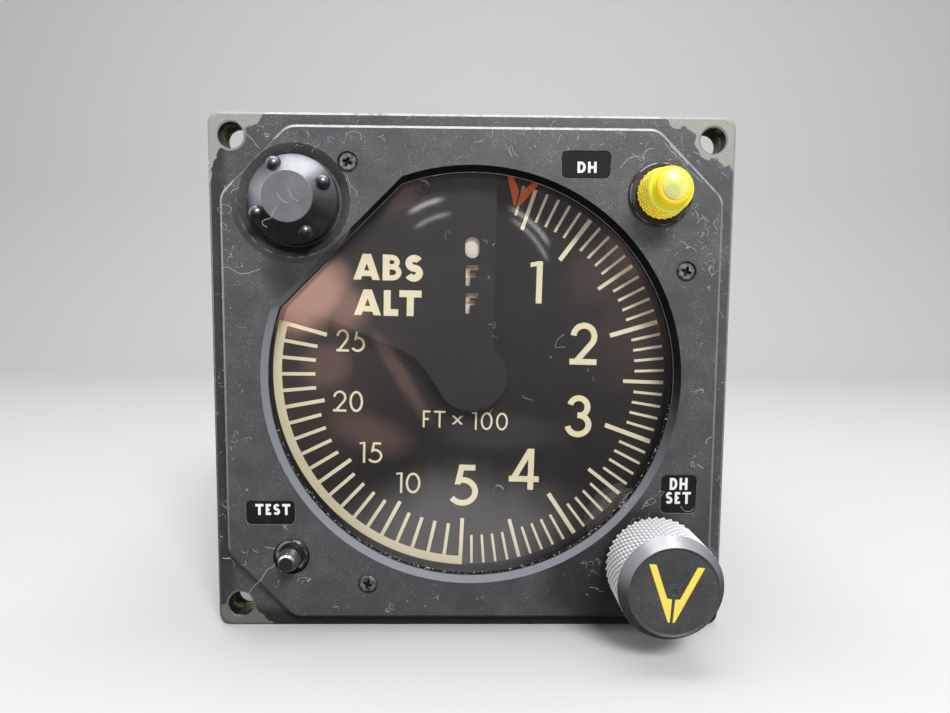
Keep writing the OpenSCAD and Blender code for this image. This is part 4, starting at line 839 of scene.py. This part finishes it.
# Lint: fine pale fibres that lie on the bezel, and one hair from the button to the corner hole
lint = {
    "seed": 7, "radius": 0.018, "thicken": 1.6, "limit": 41.2, "grit": (2.0, 4.6, 0.12), "hairWeight": 1.8,
    "strandWeight": 1.5, "weights": (0.6, 0.8, 1.0, 1.2, 1.7), "fresh": 0.45, "spread": 0.8, "stride": (0.05, 0.26),
    "curl": 0.5, "waver": 0.45, "knots": (2, 10), "lift": 0.02,
    "areas": [(-7.7, 12, 35.7, 24, 38.2, 10), (-7.7, 22, 34, 36, 38, 16), (-7.7, 33.5, 14, 38, 27, 18),
        (-7.7, -38.3, 16, -36, 30, 12), (-7.7, -33, 35, -18, 38.4, 12), (-7.7, -18, 35.5, 12, 38.6, 14),
        (-7.7, 24, -23, 30, -18, 12), (-7.7, 15, -35, 21, -29, 10), (-7.7, -37, -32, -25, -24, 14),
        (-7.7, 35, -14, 38, 14, 8), (-7.7, -38, -20, -35.5, 14, 8), (-7.7, -24, -38, 10, -35, 10),
        (-5.5, -41, -35, -39.5, 35, 18), (-5.5, -32, 39.4, 38, 41, 18), (-5.5, 39.5, -30, 41, 36, 10),
        (-6.22, -24, -25, 26, 24, 10), (-5.5, -39.5, -32, -39.1, 8, 26), (-5.5, 39.1, 6, 39.6, 34, 14),
        (-7.7, 30, 16, 38, 24, 16), (-7.7, -31, -33, -26, -31, 10)],
    "hair": [(-31.17, -8.0, -29.77), (-31.84, -7.95, -30.53), (-32.67, -7.85, -30.9), (-33.1, -7.8, -31.67),
        (-33.61, -7.75, -32.52), (-34.2, -7.7, -33.13), (-35.14, -6.8, -34.11), (-35.93, -5.9, -35.18),
        (-36.81, -5.5, -36.31)],
    "glassEdge": (-6.26, 31.9, 33.0, -165, -5, 420),
    "strands": [(1.0, -7.72, [(33.79, -20.39), (34.42, -21.17), (35.35, -21.26), (36.01, -20.7)]),
        (0.9, -7.72, [(30.38, -18.86), (30.81, -18.36), (31.11, -17.92), (30.06, -17.99)]),
        (0.9, -7.72,
            [(27.71, -20.34), (28.49, -19.36), (29.28, -19.02), (29.79, -19.68), (28.83, -20.18), (28.01, -19.69)]),
        (0.9, -7.72, [(19.45, -33.83), (20.43, -34.0), (21.26, -34.67), (21.75, -34.5)]),
        (1.1, -5.55, [(-36.5, 39.85), (-36.05, 39.1), (-35.46, 38.04), (-34.85, 37.52), (-34.24, 37.0),
                (-33.79, 36.24), (-33.26, 35.71)]),
        (0.9, -5.55, [(-36.03, 40.3), (-35.26, 40.01), (-35.74, 39.4), (-35.44, 38.65), (-35.15, 38.2)]),
        (1.1, -11.92, [(-29.02, 25.99), (-29.58, 25.22), (-29.89, 24.34), (-30.62, 24.12), (-31.22, 23.89),
                (-31.08, 23.31), (-30.5, 23.02)]),
        (0.8, -11.92, [(-28.98, 28.05), (-28.59, 27.26), (-27.93, 26.73), (-27.35, 26.55)]),
        (0.8, -11.92, [(-27.46, 28.72), (-27.03, 28.0), (-26.61, 27.14), (-25.88, 26.85)]),
        (0.9, -7.72, [(-37.6, 26.72), (-37.04, 26.28), (-37.32, 25.52)]),
        (0.9, -7.72, [(-38.42, 23.99), (-37.82, 23.54), (-37.99, 22.93), (-38.6, 23.23), (-38.73, 23.84)]),
        (1.0, -7.72,
            [(-38.79, 17.12), (-37.82, 17.33), (-36.5, 16.45), (-35.53, 16.23), (-34.45, 16.47), (-32.9, 17.02)]),
        (0.8, -7.72, [(-19.61, 36.67), (-19.35, 37.71), (-18.39, 38.02), (-17.32, 37.74), (-17.07, 36.7)]),
        (0.8, -7.72, [(-19.4, 31.43), (-18.91, 29.93), (-17.89, 28.93), (-17.85, 28.13)]),
        (1.1, -7.72, [(22.6, 32.93), (23.8, 34.37), (25.18, 34.77), (26.07, 34.47), (26.4, 35.31), (27.0, 35.84),
                (27.93, 35.93)]), (1.0, -7.72, [(24.4, 35.06), (25.18, 34.62), (25.82, 34.02), (26.42, 34.63)]),
        (0.9, -7.72, [(35.56, 25.91), (36.23, 24.85), (36.11, 23.92), (36.75, 23.47), (36.46, 22.7)]),
        (0.8, -7.72, [(34.83, 24.53), (35.27, 25.3), (36.04, 25.61), (36.7, 24.85)]),
        (0.8, -7.72, [(32.42, 21.89), (32.9, 21.59), (33.38, 21.28), (33.56, 20.67)]),
        (0.9, -7.72, [(-33.06, -27.24), (-32.01, -27.4), (-30.58, -27.69)]),
        (1.0, -5.55, [(-40.08, -30.04), (-39.35, -29.85), (-38.65, -30.76), (-38.73, -31.44)]),
        (0.8, -6.22, [(14.71, 7.2), (13.61, 6.28), (13.26, 4.95), (14.06, 5.11), (14.97, 5.12)])],
}


def layLint():
    draw = random.Random(lint["seed"])
    deselect()
    curve = bpy.data.curves.new("lintFibres", "CURVE")
    curve.dimensions = "3D"
    curve.bevel_depth = lint["radius"] * mm
    curve.bevel_resolution = 0
    fibres = [(lint["hairWeight"], lint["hair"])]
    for weight, level, path in lint["strands"]:
        fibres.append((lint["strandWeight"] * weight, [(x, level, z) for x, z in path]))
    level, low, high, first, last, count = lint["glassEdge"]
    for _ in range(count):
        reach, turn = draw.uniform(low, high), math.radians(draw.uniform(first, last))
        x, z = reach * math.cos(turn), reach * math.sin(turn)
        thin, thick, length = lint["grit"]
        weight = draw.uniform(thin, thick)
        end = (x + draw.gauss(0, length), level, z + draw.gauss(0, length))
        fibres.append((weight, [(x, level, z), end]))
    for level, x0, z0, x1, z1, count in lint["areas"]:
        x, z = draw.uniform(x0, x1), draw.uniform(z0, z1)
        for _ in range(round(count * lint["thicken"])):
            if draw.random() < lint["fresh"]:
                x, z = draw.uniform(x0, x1), draw.uniform(z0, z1)
            else:
                x = min(x1, max(x0, x + draw.gauss(0, lint["spread"])))
                z = min(z1, max(z0, z + draw.gauss(0, lint["spread"])))
            px, pz = x, z
            heading = draw.uniform(0, 2 * math.pi)
            stride, curl = draw.uniform(*lint["stride"]), draw.gauss(0, lint["curl"])
            fibre = []
            for _ in range(draw.randint(*lint["knots"])):
                px, pz = (min(lint["limit"], max(-lint["limit"], v)) for v in (px, pz))
                fibre.append((px, level - lint["lift"], pz))
                px, pz = px + stride * math.cos(heading), pz + stride * math.sin(heading)
                heading += curl + draw.gauss(0, lint["waver"])
            fibres.append((draw.choice(lint["weights"]), fibre))
    for weight, fibre in fibres:
        spline = curve.splines.new("POLY")
        spline.points.add(len(fibre) - 1)
        for knot, spot in zip(spline.points, fibre):
            knot.co = (*(Vector(spot) * mm), 1)
            knot.radius = weight
    piece = bpy.data.objects.new("lintFibres", curve)
    bpy.context.scene.collection.objects.link(piece)
    bpy.context.view_layer.objects.active = piece
    piece.select_set(True)
    bpy.ops.object.convert(target="MESH")
    settle("lintFibres", "lint", "housing")


layLint()
print("lint laid")

# Camera: the photograph's, fitted to the bezel's edges, holes and dial marks
shot = {"at": (-1.271, -113.767, 12.758), "yaw": -0.0165, "pitch": -0.0858, "roll": 0.0077,
        "focal": 676.94, "imageWidth": 950, "sensor": 36.0, "clip": (0.002, 20)}
deselect()
bpy.ops.object.camera_add()
camera = bpy.context.object
camera.matrix_world = (Matrix.Translation(Vector(shot["at"]) * mm) @ Matrix.Rotation(shot["yaw"], 4, "Z")
                       @ Matrix.Rotation(math.pi / 2 + shot["pitch"], 4, "X") @ Matrix.Rotation(shot["roll"], 4, "Z"))
camera.data.sensor_width = shot["sensor"]
camera.data.lens = shot["focal"] / shot["imageWidth"] * shot["sensor"]
camera.data.clip_start, camera.data.clip_end = shot["clip"]
bpy.context.scene.camera = camera

# Stage: a pale floor that curves up behind the object
stage = {
    "floor": -41.4, "back": 520, "wide": 7000, "high": 1500, "near": -1500, "bend": 160, "color": (208, 208, 207),
}


def makeStage():
    deselect()
    bpy.ops.mesh.primitive_plane_add(size=1)
    floor = bpy.context.object
    floor.dimensions = (stage["wide"] * mm, (stage["back"] - stage["near"]) * mm, 0)
    floor.location = (0, (stage["back"] + stage["near"]) / 2 * mm, stage["floor"] * mm)
    bpy.ops.object.transform_apply(location=True, rotation=True, scale=True)
    mode("EDIT")
    bpy.ops.mesh.select_mode(type="EDGE")

    def pickFold():  # the floor's edge at the back
        bpy.ops.mesh.select_all(action="DESELECT")
        mode("OBJECT")
        for edge in floor.data.edges:
            ends = [floor.data.vertices[v].co for v in edge.vertices]
            edge.select = all(end.y > (stage["back"] - 1) * mm and end.z < (stage["floor"] + 1) * mm for end in ends)
        mode("EDIT")

    pickFold()
    bpy.ops.mesh.extrude_region_move(TRANSFORM_OT_translate={"value": (0, 0, stage["high"] * mm)})
    pickFold()
    bpy.ops.mesh.bevel(offset=stage["bend"] * mm, segments=16)
    mode("OBJECT")
    bpy.ops.object.shade_smooth()
    floor.name = "floor"
    floor.visible_glossy = False  # the glass and metal mirror the dim room, not the bright paper
    pale = Finish("floorPaper", tone(stage["color"]), roughness=0.9)
    floor.data.materials.append(pale.material)


makeStage()

# Light: a soft panel up to the right of the camera, a panel overhead
# and a dim room with warm patches that the glass mirrors
lamps = {
    "key": {"at": (140, -480, 400), "aim": (0, 0, 0), "size": (230, 140), "watts": 3.5},
    "overhead": {"at": (0, 60, 460), "aim": (0, 40, 0), "size": (460, 160), "watts": 1.4},
}
for lampName, lamp in lamps.items():
    deselect()
    bpy.ops.object.light_add(type="AREA", location=Vector(lamp["at"]) * mm)
    light = bpy.context.object
    light.name = lampName
    light.data.shape, light.data.energy = "RECTANGLE", lamp["watts"]
    light.data.size, light.data.size_y = (side * mm for side in lamp["size"])
    light.rotation_mode = "QUATERNION"
    light.rotation_quaternion = (Vector(lamp["aim"]) - Vector(lamp["at"])).to_track_quat("-Z", "Y")
room = {
    "above": (0.6, 0.6, 0.62), "level": (0.34, 0.335, 0.34), "below": (0.12, 0.115, 0.11), "ahead": 0.32,
    "seen": (0.56, 0.56, 0.56), "glossAbove": (1.25, 1.26, 1.3), "glossLevel": (0.42, 0.42, 0.43),
    "glossBelow": (0.03, 0.03, 0.03), "glossLeft": (2.3, 2.32, 2.4), "warm": (1.0, 0.62, 0.5),
    "pale": (0.95, 1.0, 1.02),
    "patches": [(-0.228, 0.0, 0.07, 0.055, 20, 2.2), (-0.172, -0.018, 0.042, 0.04, 30, 1.05),
        (-0.1, -0.105, 0.09, 0.014, -58, 0.4), (-0.2, -0.1, 0.045, 0.04, 0, 0.5),
        (-0.14, -0.2, 0.07, 0.035, -20, 0.35), (-0.2, -0.1, 0.12, 0.16, 0, 0.1), (0.195, 0.03, 0.06, 0.05, 45, 0.17),
        (0.25, 0.07, 0.05, 0.05, 0, 0.3), (0.245, -0.05, 0.07, 0.09, 0, 0.12), (-0.09, 0.15, 0.05, 0.02, 50, 0.2)],
    "hazes": [(-0.02, -0.36, 0.2, 0.1, 0, 0.64), (0.06, -0.2, 0.1, 0.03, 0, 0.12)],
    "arcs": [(0.147, 0.0045, 100, 126, 2.2), (0.1245, 0.004, 97, 128, 1.3), (0.147, 0.0045, 30, 66, 1.6),
        (0.134, 0.004, 22, 62, 1.2)],
}
world = bpy.data.worlds.new("room")
bpy.context.scene.world = world
world.use_nodes = True


class Room(Finish):  # the room's light, with the same node tools as a finish
    def __init__(self):
        self.tree = world.node_tree
        self.shader = self.tree.nodes["Background"]


def lightRoom():
    surround = Room()
    toward = surround.add("TexCoord", output="Generated")
    x, y, z = (surround.axis(toward, letter) for letter in "XYZ")
    front = surround.step(0 - y, 0.2, 0.3)
    ahead = (0 - y).math("MAXIMUM", 0.05)
    a, b = x / ahead, z / ahead
    ripple = (surround.noise(toward, 9.0) - 0.5) * 0.9
    glows = {"patches": [], "hazes": []}
    for kind, found in glows.items():
        for ca, cb, ra, rb, turn, level in room[kind]:
            c, n = math.cos(math.radians(turn)), math.sin(math.radians(turn))
            u = ((a - ca) * c + (b - cb) * n) / ra
            v = ((b - cb) * c - (a - ca) * n) / rb
            found.append((1 - surround.step((u * u + v * v) ** 0.5 + ripple, 0.35, 1.25)) * level)
    reach = (a * a + b * b) ** 0.5
    bearing = b.math("ARCTAN2", a) * (180 / math.pi)
    for radius, half, low, high, level in room["arcs"]:
        arc = (1 - surround.step(abs(reach - radius), half * 0.3, half)) * level
        arc = arc * surround.step(bearing, low, low + 8) * (1 - surround.step(bearing, high - 8, high))
        glows["hazes"].append(arc)
    sky = surround.mix(surround.step(z, 0.1, 0.7), (*room["level"], 1), (*room["above"], 1))
    sky = surround.mix(surround.step(z, -0.45, 0.1), (*room["below"], 1), sky)
    glossy = surround.add("LightPath", output="Is Glossy Ray")
    gloss = surround.mix(surround.step(z, 0.1, 0.75), (*room["glossLevel"], 1), (*room["glossAbove"], 1))
    gloss = surround.mix(surround.step(z, -0.4, 0.05), (*room["glossBelow"], 1), gloss)
    aside = surround.step(0 - x, 0.3, 0.85) * surround.step(z, -0.3, 0.1) * surround.step(y, 0.0, 0.25)
    gloss = surround.mix(aside, gloss, (*room["glossLeft"], 1))
    gloss = surround.add("VectorMath", {"operation": "SCALE"}, {0: gloss, "Scale": 1 - front * (1 - room["ahead"])})
    sky = surround.mix(glossy, sky, gloss)
    sky = surround.mix(surround.add("LightPath", output="Is Camera Ray"), sky, (*room["seen"], 1))
    seen = glossy * front
    for kind, color in (("patches", "warm"), ("hazes", "pale")):
        glow = {0: room[color], "Scale": most(glows[kind]) * seen}
        glow = surround.add("VectorMath", {"operation": "SCALE"}, glow)
        sky = surround.add("VectorMath", {"operation": "ADD"}, {0: sky, 1: glow})
    surround.put("Color", sky)
    surround.put("Strength", 1.0)


lightRoom()
bpy.context.scene.view_settings.view_transform = "Standard"
print("camera, stage and light set")
